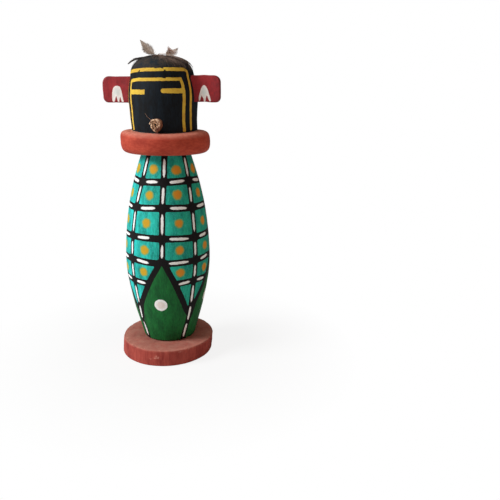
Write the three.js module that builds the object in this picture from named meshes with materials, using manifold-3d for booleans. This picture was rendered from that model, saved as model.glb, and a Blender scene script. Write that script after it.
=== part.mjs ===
// A kachina doll: one carved and painted figure of light root wood, glued upright on a sawn disc,
// with two wooden tab ears, a rolled husk snout and a tuft of six small feathers on the crown.
// Millimetres, +Z up. The mask looks along -Y, and left and right are the viewer's, facing it.
// The origin is the middle of the base's underside.

import * as THREE from 'three';
import { mergeVertices } from 'three/addons/utils/BufferGeometryUtils.js';
import Module from 'manifold-3d';

const wasm = await Module();
wasm.setup();

// Base: a disc trimmed by hand, so its top and its underside aren't quite one above the other.
const BASE_RADIUS = 28.1;
const BASE_THICKNESS = 10.4;
const BASE_EDGE = 0.9;
const BASE_OVAL = 0.4;
const BASE_TOP_SHIFT = { x: -0.15, y: -0.4 };
const BASE_FOOT_SHIFT = { x: -1.1, y: 0.1 };

// Figure, from the foot up: a full body, a thick ruff, a straight-sided mask and a low dome.
const BODY_HEIGHT = 112.3;
const BODY_RADIUS = 24.9;
const FOOT_EDGE = 1.7;
const RUFF_HEIGHT = 12.2;
const RUFF_RADIUS = 25.4;
const RUFF_ROLL = 6.5;
const MASK_HEIGHT = 28.1;
const MASK_RADIUS = 19.3;
const DOME_RISE = 12.4;

// Carving of the body: how wide it is, as shares of its height and of its fullest radius.
const BODY_SHAPE = [
  { up: 0, out: 0.640 },
  { up: 0.2, out: 0.858 },
  { up: 0.4, out: 1 },
  { up: 0.6, out: 0.966 },
  { up: 0.8, out: 0.820 },
  { up: 1, out: 0.563 },
];

// Carving of the mask, in the same way.
const MASK_SHAPE = [
  { up: 0, out: 0.958 },
  { up: 0.35, out: 0.98 },
  { up: 0.62, out: 1.002 },
  { up: 0.84, out: 0.972 },
  { up: 1, out: 0.924 },
];

// Squareness of a rounded corner: 2 is a plain quarter round, and more is fuller.
const RUFF_TOP_SQUARENESS = 3.3;
const RUFF_FOOT_SQUARENESS = 2.9;
const DOME_SQUARENESS = 2.52;

// The hand-carved figure isn't quite straight: its axis wanders sideways as it rises.
const LEAN_AT_FOOT = 0.4;
const LEAN_AT_RUFF = 1.0;
const LEAN_AT_MASK = 0.2;

// Ears: flat tabs standing out from the sides of the mask, a little in front of its middle.
const EAR_REACH_LEFT = 33.4;
const EAR_REACH_RIGHT = 33.6;
const EAR_HEIGHT = 14.5;
const EAR_THICKNESS = 3.6;
const EAR_FRONT = 5;
const EAR_CORNER = 3.6;
const EAR_EDGE = 0.5;
const EAR_SEAT = 2.2;
const EAR_RISE_LEFT = 0.774 * MASK_HEIGHT;
const EAR_RISE_RIGHT = 0.811 * MASK_HEIGHT;

// Snout: a short stub of rolled husk with a hollow end, low on the mask.
const SNOUT_RADIUS = 3.8;
const SNOUT_REACH = 5;
const SNOUT_SEAT = 2.4;
const SNOUT_ROOT_RADIUS = 3.1;
const SNOUT_HOLLOW_RADIUS = 2.1;
const SNOUT_HOLLOW_DEPTH = 2;
const SNOUT_RISE = 0.132 * MASK_HEIGHT;
const SNOUT_SIDE = 1.2;
const SNOUT_OVAL = 0.96;

// Feathers: their quills stand in one hole drilled in the crown.
const HOLE_RADIUS = 2.6;
const HOLE_DEPTH = 4;
const HOLE_PLACE = { x: -0.13, y: -0.16 };
const QUILL_RING = 1.45;
const QUILL_RADIUS = 0.42;
const VANE_THICKNESS = 0.7;
const VANE_FULLEST = 0.7;
const VANE_FULLNESS = 0.6;

// Room left round anything seated in the figure.
const SEAT_CLEARANCE = 0.3;

// How finely round things are faceted.
const ROUND_STEPS = 48;
const BODY_STEPS = 15;
const MASK_STEPS = 7;
const ROLL_STEPS = 12;
const DOME_STEPS = 10;
const EDGE_STEPS = 3;
const SNOUT_STEPS = 20;
const FEATHER_STEPS = 12;
const SEARCH_STEPS = 28;
const MERGE_DISTANCE = 1e-4;

// Levels worked out from the sizes above.
const RUFF_BOTTOM = BASE_THICKNESS + BODY_HEIGHT;
const MASK_BOTTOM = RUFF_BOTTOM + RUFF_HEIGHT;
const DOME_BOTTOM = MASK_BOTTOM + MASK_HEIGHT;
const CROWN = DOME_BOTTOM + DOME_RISE;
const DOME_RADIUS = MASK_RADIUS * MASK_SHAPE.at(-1).out;

const PAINT = {
  turquoise: { color: 0x2fb4aa, roughness: 0.75 },
  red: { color: 0x9c2f34, roughness: 0.7 },
  husk: { color: 0xb98e6e, roughness: 0.85 },
  taupe: { color: 0x84776c, roughness: 0.9 },
  darkBrown: { color: 0x3b2a25, roughness: 0.9 },
};

// Sideways offset of the figure's axis at a height.
function lean(z) {
  const ruffMiddle = RUFF_BOTTOM + RUFF_HEIGHT / 2;
  if (z < ruffMiddle) {
    const up = (z - BASE_THICKNESS) / (ruffMiddle - BASE_THICKNESS);
    return THREE.MathUtils.lerp(LEAN_AT_FOOT, LEAN_AT_RUFF, up);
  }
  const up = Math.min(1, (z - ruffMiddle) / RUFF_HEIGHT);
  return THREE.MathUtils.lerp(LEAN_AT_RUFF, LEAN_AT_MASK, up);
}

// Points of a carved outline: radius and height, smooth through its stations.
function carvedOutline(shape, radius, bottom, height, steps) {
  const stations = shape.map((s) => new THREE.Vector2(radius * s.out, bottom + height * s.up));
  return new THREE.SplineCurve(stations).getPoints(steps);
}

// A fuller quarter round: shares across and up at an angle from its outermost point.
function fullRound(angle, squareness) {
  const power = 2 / squareness;
  return {
    out: Math.cos(angle) ** power,
    up: Math.sign(angle) * Math.abs(Math.sin(angle)) ** power,
  };
}

function footProfile() {
  const side = BODY_RADIUS * BODY_SHAPE[0].out;
  const points = [new THREE.Vector2(0, BASE_THICKNESS)];
  for (let i = 0; i < EDGE_STEPS; i += 1) {
    const angle = (i / EDGE_STEPS) * Math.PI / 2;
    const out = side - FOOT_EDGE + FOOT_EDGE * Math.sin(angle);
    points.push(new THREE.Vector2(out, BASE_THICKNESS + FOOT_EDGE * (1 - Math.cos(angle))));
  }
  return points;
}

// The body's outline above the rounded edge of its foot.
function bodyProfile() {
  const shape = [{ up: FOOT_EDGE / BODY_HEIGHT, out: BODY_SHAPE[0].out }, ...BODY_SHAPE.slice(1)];
  return carvedOutline(shape, BODY_RADIUS, BASE_THICKNESS, BODY_HEIGHT, BODY_STEPS);
}

function ruffProfile() {
  const middle = RUFF_BOTTOM + RUFF_HEIGHT / 2;
  const points = [];
  for (let i = 0; i <= ROLL_STEPS; i += 1) {
    const angle = (i / ROLL_STEPS - 0.5) * Math.PI;
    const round = fullRound(angle, angle < 0 ? RUFF_FOOT_SQUARENESS : RUFF_TOP_SQUARENESS);
    const out = RUFF_RADIUS - RUFF_ROLL + RUFF_ROLL * round.out;
    points.push(new THREE.Vector2(out, middle + (RUFF_HEIGHT / 2) * round.up));
  }
  return points;
}

function maskProfile() {
  return carvedOutline(MASK_SHAPE, MASK_RADIUS, MASK_BOTTOM, MASK_HEIGHT, MASK_STEPS);
}

function domeProfile() {
  const points = [];
  for (let i = 1; i < DOME_STEPS; i += 1) {
    const round = fullRound((i / DOME_STEPS) * Math.PI / 2, DOME_SQUARENESS);
    points.push(new THREE.Vector2(DOME_RADIUS * round.out, DOME_BOTTOM + DOME_RISE * round.up));
  }
  points.push(new THREE.Vector2(0, CROWN));
  return points;
}

// Height of the dome's surface above its own foot, at a distance from its axis.
function domeHeight(distance) {
  const share = Math.min(1, distance / DOME_RADIUS);
  return DOME_RISE * (1 - share ** DOME_SQUARENESS) ** (1 / DOME_SQUARENESS);
}

// Radius of the mask at a height above the ruff.
function maskRadius(rise) {
  const outline = carvedOutline(MASK_SHAPE, MASK_RADIUS, 0, MASK_HEIGHT, SEARCH_STEPS);
  return outline.reduce((a, b) => (Math.abs(b.y - rise) < Math.abs(a.y - rise) ? b : a)).x;
}

// Merge the doubled vertices that geometry classes leave along seams and poles.
function closed(geometry) {
  geometry.deleteAttribute('normal');
  geometry.deleteAttribute('uv');
  return mergeVertices(geometry, MERGE_DISTANCE);
}

// Turn a profile about the upright axis: LatheGeometry turns about Y, so it is stood up.
function turned(profile, steps) {
  const geometry = new THREE.LatheGeometry(profile, steps);
  geometry.rotateX(Math.PI / 2);
  return closed(geometry);
}

// Move every vertex of a geometry by a rule.
function shaped(geometry, rule) {
  const position = geometry.attributes.position;
  const point = new THREE.Vector3();
  for (let i = 0; i < position.count; i += 1) {
    point.fromBufferAttribute(position, i);
    rule(point);
    position.setXYZ(i, point.x, point.y, point.z);
  }
  return geometry;
}

function toSolid(geometry) {
  const mesh = new wasm.Mesh({
    numProp: 3,
    vertProperties: new Float32Array(geometry.attributes.position.array),
    triVerts: new Uint32Array(geometry.index.array),
  });
  return new wasm.Manifold(mesh);
}

function toGeometry(solid) {
  const mesh = solid.getMesh();
  const geometry = new THREE.BufferGeometry();
  geometry.setAttribute('position', new THREE.BufferAttribute(mesh.vertProperties, 3));
  geometry.setIndex(new THREE.BufferAttribute(mesh.triVerts, 1));
  return geometry;
}

// Base: a turned disc whose rings slide sideways and stretch a little, from the underside up.
function baseGeometry() {
  const profile = [new THREE.Vector2(0, 0)];
  for (const rim of ['foot', 'top']) {
    for (let i = 0; i <= EDGE_STEPS; i += 1) {
      const angle = (i / EDGE_STEPS) * Math.PI / 2;
      const along = rim === 'foot' ? Math.sin(angle) : Math.cos(angle);
      const up = BASE_EDGE * (1 - (rim === 'foot' ? Math.cos(angle) : Math.sin(angle)));
      const height = rim === 'foot' ? up : BASE_THICKNESS - up;
      profile.push(new THREE.Vector2(BASE_RADIUS - BASE_EDGE + BASE_EDGE * along, height));
    }
  }
  profile.push(new THREE.Vector2(0, BASE_THICKNESS));
  return shaped(turned(profile, ROUND_STEPS), (point) => {
    const up = point.z / BASE_THICKNESS;
    point.x = point.x * (1 - BASE_OVAL / BASE_RADIUS)
      + THREE.MathUtils.lerp(BASE_FOOT_SHIFT.x, BASE_TOP_SHIFT.x, up);
    point.y = point.y * (1 + BASE_OVAL / BASE_RADIUS)
      + THREE.MathUtils.lerp(BASE_FOOT_SHIFT.y, BASE_TOP_SHIFT.y, up);
  });
}

// Ear outline in its own plane: a tab with two round outer corners, and its square root at x = 0.
function earShape(length, height) {
  const top = height / 2;
  const shape = new THREE.Shape();
  shape.moveTo(0, -top);
  shape.lineTo(length - EAR_CORNER, -top);
  shape.absarc(length - EAR_CORNER, -top + EAR_CORNER, EAR_CORNER, -Math.PI / 2, 0, false);
  shape.absarc(length - EAR_CORNER, top - EAR_CORNER, EAR_CORNER, 0, Math.PI / 2, false);
  shape.lineTo(0, top);
  shape.closePath();
  return shape;
}

function earPlace(side) {
  const rise = side < 0 ? EAR_RISE_LEFT : EAR_RISE_RIGHT;
  const reach = side < 0 ? EAR_REACH_LEFT : EAR_REACH_RIGHT;
  const z = MASK_BOTTOM + rise;
  const surface = Math.sqrt(maskRadius(rise) ** 2 - EAR_FRONT ** 2);
  const root = side * (surface - EAR_SEAT) + lean(z);
  return { root, z, length: reach - side * root };
}

// Ear: the outline is inset by its rounded edge, which the bevel then gives back.
function earGeometry(side) {
  const place = earPlace(side);
  const inner = earShape(place.length, EAR_HEIGHT);
  const geometry = new THREE.ExtrudeGeometry(inner, {
    depth: EAR_THICKNESS - 2 * EAR_EDGE,
    bevelThickness: EAR_EDGE,
    bevelSize: EAR_EDGE,
    bevelOffset: -EAR_EDGE,
    bevelSegments: 2,
    curveSegments: 6,
  });
  geometry.rotateX(Math.PI / 2);
  geometry.translate(0, EAR_THICKNESS - EAR_EDGE, 0);
  if (side < 0) geometry.rotateZ(Math.PI);
  if (side < 0) geometry.translate(0, EAR_THICKNESS, 0);
  geometry.translate(place.root, -EAR_FRONT, place.z);
  return closed(geometry);
}

// Slot for an ear's root, larger by the clearance all round.
function earSlot(side) {
  const place = earPlace(side);
  const length = 2 * EAR_SEAT + EAR_FRONT;
  const slot = new THREE.BoxGeometry(
    length,
    EAR_THICKNESS + 2 * SEAT_CLEARANCE,
    EAR_HEIGHT + 2 * SEAT_CLEARANCE,
  );
  const x = place.root + side * (length / 2 - SEAT_CLEARANCE);
  slot.translate(x, EAR_THICKNESS / 2 - EAR_FRONT, place.z);
  return toSolid(closed(slot));
}

function snoutPlace() {
  const surface = Math.sqrt(maskRadius(SNOUT_RISE) ** 2 - SNOUT_SIDE ** 2);
  const z = MASK_BOTTOM + SNOUT_RISE;
  return { x: SNOUT_SIDE + lean(z), y: -(surface - SNOUT_SEAT), z };
}

// Snout: turned about its own axis, from its root in the mask to its hollow end, then laid forward.
function snoutGeometry() {
  const end = SNOUT_SEAT + SNOUT_REACH;
  const rim = (SNOUT_RADIUS - SNOUT_HOLLOW_RADIUS) / 2;
  const profile = [
    new THREE.Vector2(0, 0),
    new THREE.Vector2(SNOUT_ROOT_RADIUS, 0),
    new THREE.Vector2(SNOUT_ROOT_RADIUS, SNOUT_SEAT + SEAT_CLEARANCE),
    new THREE.Vector2(SNOUT_RADIUS - rim / 2, SNOUT_SEAT + SEAT_CLEARANCE + rim),
    new THREE.Vector2(SNOUT_RADIUS, end - 2 * rim),
  ];
  for (let i = 1; i < EDGE_STEPS * 2; i += 1) {
    const angle = (i / (EDGE_STEPS * 2)) * Math.PI;
    const out = SNOUT_RADIUS - rim + rim * Math.cos(angle);
    profile.push(new THREE.Vector2(out, end - rim + rim * Math.sin(angle)));
  }
  profile.push(new THREE.Vector2(SNOUT_HOLLOW_RADIUS, end - SNOUT_HOLLOW_DEPTH));
  profile.push(new THREE.Vector2(0, end - SNOUT_HOLLOW_DEPTH));
  const geometry = turned(profile, SNOUT_STEPS);
  geometry.rotateX(Math.PI / 2);
  geometry.scale(SNOUT_OVAL, 1, 1);
  return geometry;
}

function snoutSocket() {
  const place = snoutPlace();
  const radius = SNOUT_ROOT_RADIUS + SEAT_CLEARANCE;
  const length = 2 * (SNOUT_SEAT + SEAT_CLEARANCE);
  const socket = new THREE.CylinderGeometry(radius, radius, length, SNOUT_STEPS);
  socket.translate(place.x, place.y + SEAT_CLEARANCE - length / 2, place.z);
  return toSolid(closed(socket));
}

function holePlace() {
  const x = HOLE_PLACE.x * DOME_RADIUS;
  const y = HOLE_PLACE.y * DOME_RADIUS;
  return { x: x + LEAN_AT_MASK, y, z: DOME_BOTTOM + domeHeight(Math.hypot(x, y)) };
}

function quillHole() {
  const place = holePlace();
  const length = 2 * HOLE_DEPTH;
  const hole = new THREE.CylinderGeometry(HOLE_RADIUS, HOLE_RADIUS, length, SNOUT_STEPS);
  hole.rotateX(Math.PI / 2);
  hole.translate(place.x, place.y, place.z);
  return toSolid(closed(hole));
}

// Figure: one turned and leaning form from foot to crown, cut for the ears, snout and quills.
function figureGeometry() {
  const profile = [
    ...footProfile(), ...bodyProfile(), ...ruffProfile(), ...maskProfile(), ...domeProfile(),
  ];
  const form = shaped(turned(profile, ROUND_STEPS), (point) => {
    point.x += lean(point.z);
  });
  let solid = toSolid(form);
  for (const cut of [earSlot(-1), earSlot(1), snoutSocket(), quillHole()]) {
    solid = solid.subtract(cut);
  }
  return toGeometry(solid);
}

// A point over the crown: how far across, back and up off its surface, as shares of the dome's radius.
function overCrown({ x, y, lift }) {
  const across = x * DOME_RADIUS;
  const back = y * DOME_RADIUS;
  const surface = DOME_BOTTOM + domeHeight(Math.hypot(across, back));
  const z = surface + lift * DOME_RADIUS;
  return new THREE.Vector3(across + LEAN_AT_MASK, back, z);
}

// Feathers: where each quill stands round the hole, the points that its spine passes after that,
// the share of its length that is bare quill, the widest width of its vane as a share of the dome's
// radius, and the way that the flat side of the vane faces.
const FEATHERS = [
  {
    name: 'feather_upright', paint: PAINT.taupe, turn: 195, bare: 0.46, width: 0.258,
    faces: [0.3, -1, 0.3],
    spine: [{ x: -0.3, y: -0.17, lift: 0.123 }, { x: -0.44, y: -0.19, lift: 0.303 },
      { x: -0.61, y: -0.2, lift: 0.51 }],
  },
  {
    name: 'feather_fan', paint: PAINT.taupe, turn: 60, bare: 0.66, width: 0.314,
    faces: [0.25, -1, 0.1],
    spine: [{ x: 0.06, y: -0.03, lift: 0.056 }, { x: 0.24, y: 0.05, lift: 0.073 },
      { x: 0.31, y: 0.08, lift: 0.168 }, { x: 0.34, y: 0.09, lift: 0.292 }],
  },
  {
    name: 'feather_dark_left', paint: PAINT.darkBrown, turn: 250, bare: 0.4, width: 0.09,
    faces: [0.1, -0.6, 1],
    spine: [{ x: -0.36, y: -0.36, lift: 0.056 }, { x: -0.68, y: -0.34, lift: 0.084 },
      { x: -0.86, y: -0.29, lift: 0.168 }, { x: -0.98, y: -0.27, lift: 0.37 }],
  },
  {
    name: 'feather_crown_left', paint: PAINT.darkBrown, turn: 140, bare: 0.5, width: 0.191,
    faces: [-0.2, 0, 1],
    spine: [{ x: -0.32, y: 0.04, lift: 0.056 }, { x: -0.52, y: 0.07, lift: 0.05 },
      { x: -0.68, y: 0.08, lift: 0.056 }],
  },
  {
    name: 'feather_crown_right', paint: PAINT.darkBrown, turn: 5, bare: 0.36, width: 0.236,
    faces: [0.2, -0.1, 1],
    spine: [{ x: 0.12, y: -0.16, lift: 0.056 }, { x: 0.45, y: -0.12, lift: 0.05 },
      { x: 0.7, y: -0.04, lift: 0.056 }, { x: 0.86, y: 0.04, lift: 0.079 }],
  },
  {
    name: 'feather_crown_front', paint: PAINT.darkBrown, turn: 310, bare: 0.4, width: 0.202,
    faces: [0.1, -0.6, 1],
    spine: [{ x: 0.08, y: -0.42, lift: 0.056 }, { x: 0.36, y: -0.46, lift: 0.056 },
      { x: 0.66, y: -0.42, lift: 0.056 }],
  },
];

// The spine of a feather: up out of the hole, over its rim, and on along the feather.
function featherSpine({ turn, spine }) {
  const hole = holePlace();
  const angle = THREE.MathUtils.degToRad(turn);
  const foot = new THREE.Vector3(
    hole.x + QUILL_RING * Math.cos(angle),
    hole.y + QUILL_RING * Math.sin(angle),
    hole.z - HOLE_DEPTH + QUILL_RADIUS + SEAT_CLEARANCE,
  );
  const mouth = foot.clone().setZ(hole.z + QUILL_RADIUS + SEAT_CLEARANCE);
  return new THREE.CatmullRomCurve3([foot, mouth, ...spine.map(overCrown)], false, 'centripetal');
}

// Half width of a vane along its length: a bare quill, a quick swell and a long taper to the tip.
function vaneHalfWidth(along, { bare, width }) {
  if (along < bare) return QUILL_RADIUS;
  const share = (along - bare) / (1 - bare);
  const swell = Math.sin(Math.PI * share ** VANE_FULLEST) ** VANE_FULLNESS;
  return Math.max(QUILL_RADIUS, (width * DOME_RADIUS / 2) * swell);
}

// Feather: a lens section, four vertices round, carried along the spine and closed at both ends.
function featherGeometry(feather) {
  const spine = featherSpine(feather);
  const faces = new THREE.Vector3(...feather.faces).normalize();
  const positions = [];
  const index = [];
  for (let i = 0; i <= FEATHER_STEPS; i += 1) {
    const along = i / FEATHER_STEPS;
    const centre = spine.getPointAt(along);
    const ahead = spine.getTangentAt(along);
    const across = new THREE.Vector3().crossVectors(ahead, faces).normalize();
    const up = new THREE.Vector3().crossVectors(across, ahead).normalize();
    const half = vaneHalfWidth(along, feather);
    const thick = along < feather.bare ? QUILL_RADIUS : VANE_THICKNESS / 2;
    for (const [side, rise] of [[half, 0], [0, thick], [-half, 0], [0, -thick]]) {
      const corner = centre.clone().addScaledVector(across, side).addScaledVector(up, rise);
      positions.push(corner.x, corner.y, corner.z);
    }
  }
  const corner = (ring, k) => ring * 4 + (k % 4);
  for (let ring = 0; ring < FEATHER_STEPS; ring += 1) {
    for (let k = 0; k < 4; k += 1) {
      const [a, b] = [corner(ring, k), corner(ring, k + 1)];
      const [c, d] = [corner(ring + 1, k + 1), corner(ring + 1, k)];
      index.push(a, c, b, a, d, c);
    }
  }
  const last = FEATHER_STEPS * 4;
  index.push(0, 1, 2, 0, 2, 3, last, last + 2, last + 1, last, last + 3, last + 2);
  const geometry = new THREE.BufferGeometry();
  geometry.setAttribute('position', new THREE.Float32BufferAttribute(positions, 3));
  geometry.setIndex(index);
  return geometry;
}

function piece(name, geometry, paint) {
  const mesh = new THREE.Mesh(geometry, new THREE.MeshStandardMaterial({ ...paint, metalness: 0 }));
  mesh.name = name;
  return mesh;
}

function snoutPiece() {
  const mesh = piece('snout', snoutGeometry(), PAINT.husk);
  const place = snoutPlace();
  mesh.position.set(place.x, place.y, place.z);
  return mesh;
}

const doll = new THREE.Group();
doll.add(piece('base', baseGeometry(), PAINT.red));
doll.add(piece('figure', figureGeometry(), PAINT.turquoise));
doll.add(piece('ear_left', earGeometry(-1), PAINT.red));
doll.add(piece('ear_right', earGeometry(1), PAINT.red));
doll.add(snoutPiece());
for (const feather of FEATHERS) {
  doll.add(piece(feather.name, featherGeometry(feather), feather.paint));
}

export default doll;
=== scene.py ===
# %% [markdown]
# # Dressing a kachina doll
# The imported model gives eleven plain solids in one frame. Each cell below keeps one of them in its
# place and gives it the surface of the real thing: brushed matt paint on carved root wood, a rubbed
# red disc, a stub of rolled husk and soft feathers. Everything is in metres, mask towards -Y.

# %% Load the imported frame
import math

import bmesh
import bpy
import numpy as np
from mathutils import Matrix, Vector


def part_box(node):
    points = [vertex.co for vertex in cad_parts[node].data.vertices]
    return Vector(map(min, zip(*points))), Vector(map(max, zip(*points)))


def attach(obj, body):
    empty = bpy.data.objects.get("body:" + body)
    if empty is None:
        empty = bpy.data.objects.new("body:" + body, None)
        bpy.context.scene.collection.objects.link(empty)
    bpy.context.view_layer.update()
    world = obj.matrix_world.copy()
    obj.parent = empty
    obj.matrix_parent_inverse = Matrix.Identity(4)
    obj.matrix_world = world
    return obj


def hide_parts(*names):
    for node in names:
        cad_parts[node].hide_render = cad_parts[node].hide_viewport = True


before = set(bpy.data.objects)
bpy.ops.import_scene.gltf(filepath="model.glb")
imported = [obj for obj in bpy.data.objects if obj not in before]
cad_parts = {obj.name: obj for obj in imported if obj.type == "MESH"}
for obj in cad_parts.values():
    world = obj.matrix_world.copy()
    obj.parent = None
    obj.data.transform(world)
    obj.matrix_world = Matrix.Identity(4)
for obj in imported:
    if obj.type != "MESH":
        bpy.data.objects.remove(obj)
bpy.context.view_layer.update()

MM = 0.001
DEGREE = math.pi / 180
QUARTER = math.pi / 2
print("solids:", ", ".join(sorted(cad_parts)))

# %% [markdown]
# The levels of the figure come from the solids, so the dressed doll follows them. The body's foot is
# the top of the disc, and its crown is the top of the figure's box. The heights of the ruff, mask and
# dome are the real ones, counted down from the crown, in millimetres.

# %% Levels of the figure
BASE_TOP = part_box("base")[1][2] / MM
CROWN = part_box("figure")[1][2] / MM
RUFF_HEIGHT = 12.2
MASK_HEIGHT = 28.1
DOME_RISE = 12.4
DOME_BOTTOM = CROWN - DOME_RISE
MASK_BOTTOM = DOME_BOTTOM - MASK_HEIGHT
RUFF_BOTTOM = MASK_BOTTOM - RUFF_HEIGHT
BODY_HEIGHT = RUFF_BOTTOM - BASE_TOP
print(f"body {BODY_HEIGHT:.1f} mm, ruff from {RUFF_BOTTOM:.1f}, mask from {MASK_BOTTOM:.1f}")

# %% [markdown]
# The camera comes first, because every later choice is judged through it. It stands as the one that
# took the photograph did: a hand's length in front and a little to the right of the doll, at the
# height of the eyes, looking slightly down, with a lens of ordinary phone width.

# %% Camera
CAMERA_PLACE = (0.0860, -0.3110, 0.1526)
CAMERA_YAW = 6.5 * DEGREE
CAMERA_PITCH = (90 - 15.49) * DEGREE
CAMERA_ROLL = 0.84 * DEGREE
CAMERA_LENS = 39.24


def link(name, data):
    """A new object at the origin of the scene, holding a camera, a light or a mesh."""
    made = bpy.data.objects.new(name, data)
    bpy.context.collection.objects.link(made)
    return made


def make_camera():
    camera = link("camera", bpy.data.cameras.new("camera"))
    camera.data.lens = CAMERA_LENS
    camera.data.sensor_width = 36
    camera.data.clip_start = 0.01
    camera.data.clip_end = 20
    camera.rotation_mode = "QUATERNION"
    yaw = Matrix.Rotation(CAMERA_YAW, 4, "Z")
    pitch = Matrix.Rotation(CAMERA_PITCH, 4, "X")
    roll = Matrix.Rotation(CAMERA_ROLL, 4, "Z")
    camera.matrix_world = Matrix.Translation(CAMERA_PLACE) @ yaw @ pitch @ roll
    bpy.context.scene.camera = camera


make_camera()
print("camera", [round(v, 3) for v in bpy.context.scene.camera.matrix_world.translation])

# %% [markdown]
# A material and a Geometry Nodes modifier are both trees of nodes, and a script builds either in the
# same way: add a node, set it, link it. A few kinds come up all the time, so each gets a short word.

# %% Words for building node trees
def node(tree, kind, inputs=None, **settings):
    """A node with its settings and inputs in place: an input is a value or another node's socket."""
    made = tree.nodes.new(kind)
    for name, value in settings.items():
        setattr(made, name, value)
    for name, value in (inputs or {}).items():
        fits = [entry for entry in made.inputs if entry.enabled and entry.name == name]
        entry = fits[0] if fits else made.inputs[name]
        if isinstance(value, bpy.types.NodeSocket):
            tree.links.new(value, entry)
        else:
            entry.default_value = value
    return made


def socket(tree, kind, inputs=None, **settings):
    """The first output of a new node."""
    return node(tree, kind, inputs, **settings).outputs[0]


def calc(tree, operation, *values):
    return socket(tree, "ShaderNodeMath", dict(enumerate(values)), operation=operation)


def times(tree, a, b):
    return calc(tree, "MULTIPLY", a, b)


def plus(tree, a, b):
    return calc(tree, "ADD", a, b)


def minus(tree, a, b):
    return calc(tree, "SUBTRACT", a, b)


def vectors(tree, operation, *values):
    return socket(tree, "ShaderNodeVectorMath", dict(enumerate(values)), operation=operation)


def scaled(tree, vector, amount):
    return socket(tree, "ShaderNodeVectorMath", {0: vector, "Scale": amount}, operation="SCALE")


def xyz(tree, **shares):
    return socket(tree, "ShaderNodeCombineXYZ", shares)


def shares_of(tree, vector):
    return node(tree, "ShaderNodeSeparateXYZ", {0: vector}).outputs


def spread(tree, value, low, high, start=0.0, end=1.0, **settings):
    """Stretch what lies between low and high to the whole range from start to end."""
    return socket(tree, "ShaderNodeMapRange", {
        "Value": value, "From Min": low, "From Max": high, "To Min": start, "To Max": end}, **settings)


def noise(tree, place, scale, detail=2.0, roughness=0.5):
    return socket(tree, "ShaderNodeTexNoise", {
        "Vector": place, "Scale": scale, "Detail": detail, "Roughness": roughness})


def object_place(tree):
    return node(tree, "ShaderNodeTexCoord").outputs["Object"]


def finish_material(name, settings):
    """An empty material with a Principled BSDF wired to its output."""
    material = bpy.data.materials.new(name)
    material.use_nodes = True
    tree = material.node_tree
    tree.nodes.clear()
    shader = node(tree, "ShaderNodeBsdfPrincipled", settings)
    node(tree, "ShaderNodeOutputMaterial", {"Surface": shader.outputs[0]})
    return material, tree, shader


print("words:", [word.__name__ for word in (node, socket, calc, vectors, spread, noise)])

# %% [markdown]
# The doll stands on a plain pale floor. Its far parts are plain white to the camera, so that no horizon
# shows: the Light Path node tells the camera's rays from the light's. A mesh comes from plain lists of
# points and faces, and a closed skin from rings of points with a pole at each end.

# %% Meshes from lists, and the floor
FLOOR_RADIUS = 3.0
FLOOR_SIDES = 96
FLOOR_GREY = (0.84, 0.84, 0.84, 1)
PLAIN_WHITE = (1, 1, 1, 1)
SHADOW_SHOWN = 0.15
SHADOW_NEAR = 0.05
SHADOW_FAR = 0.12


def mesh_object(name, points, faces):
    """An object at the origin from plain lists, shaded smooth."""
    mesh = bpy.data.meshes.new(name)
    mesh.from_pydata([tuple(p) for p in points], [], [tuple(f) for f in faces])
    mesh.shade_smooth()
    mesh.update()
    return link(name, mesh)


def loft(rings, first, last, start=0):
    """Points and faces of a closed skin over rings of equal counts, with a pole at each end.

    The rings run with the outside on the left hand when walking from the first to the last, and the
    faces count their points from start."""
    count, top = len(rings[0]), len(rings) - 1
    points = [first] + [p for ring in rings for p in ring] + [last]
    end = start + len(points) - 1

    def corner(ring, k):
        return start + 1 + ring * count + k % count

    faces = [(start, corner(0, k + 1), corner(0, k)) for k in range(count)]
    for low in range(top):
        for k in range(count):
            faces.append((corner(low, k), corner(low, k + 1), corner(low + 1, k + 1), corner(low + 1, k)))
    faces += [(corner(top, k), corner(top, k + 1), end) for k in range(count)]
    return points, faces


def make_floor():
    angles = np.linspace(0, 2 * math.pi, FLOOR_SIDES, endpoint=False)
    rim = [(FLOOR_RADIUS * math.cos(a), FLOOR_RADIUS * math.sin(a), 0) for a in angles]
    floor = mesh_object("floor", rim, [range(FLOOR_SIDES)])
    material, tree, shader = finish_material("pale_paper", {"Base Color": FLOOR_GREY, "Roughness": 0.9})
    away = node(tree, "ShaderNodeVectorMath", {0: object_place(tree)}, operation="LENGTH").outputs["Value"]
    whiter = spread(tree, away, SHADOW_NEAR, SHADOW_FAR, 1 - SHADOW_SHOWN, 1.0)
    seen = node(tree, "ShaderNodeLightPath").outputs["Is Camera Ray"]
    white = socket(tree, "ShaderNodeEmission", {"Color": PLAIN_WHITE, "Strength": 1.0})
    share = times(tree, whiter, seen)
    both = socket(tree, "ShaderNodeMixShader", {0: share, 1: shader.outputs[0], 2: white})
    tree.links.new(both, tree.nodes["Material Output"].inputs["Surface"])
    floor.data.materials.append(material)


make_floor()
print("floor", 2 * FLOOR_RADIUS, "m across")

# %% [markdown]
# A white room throws light back from all sides and flattens the carving, so the room is bright to the
# camera alone. One soft light stands high on the viewer's left, as in the photograph, a wide weak one
# hangs above, and a faint warm one fills the right.

# %% Room and lights
ROOM_GLOW = {"Color": (1.0, 0.96, 0.9, 1), "Strength": 0.07}
AIMED_AT = Vector((0, 0, 0.09))
LIGHTS = {
    "soft_key": dict(place=(-1.1, -0.6, 0.85), size=0.6, power=21.5, colour=(0.96, 0.985, 1.0)),
    "warm_fill": dict(place=(0.95, -0.45, 0.6), size=0.8, power=1.9, colour=(1.0, 0.7, 0.48)),
    "top_soft": dict(place=(0.0, -0.1, 1.5), size=1.2, power=5.5, colour=(1.0, 0.97, 0.93)),
}


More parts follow.
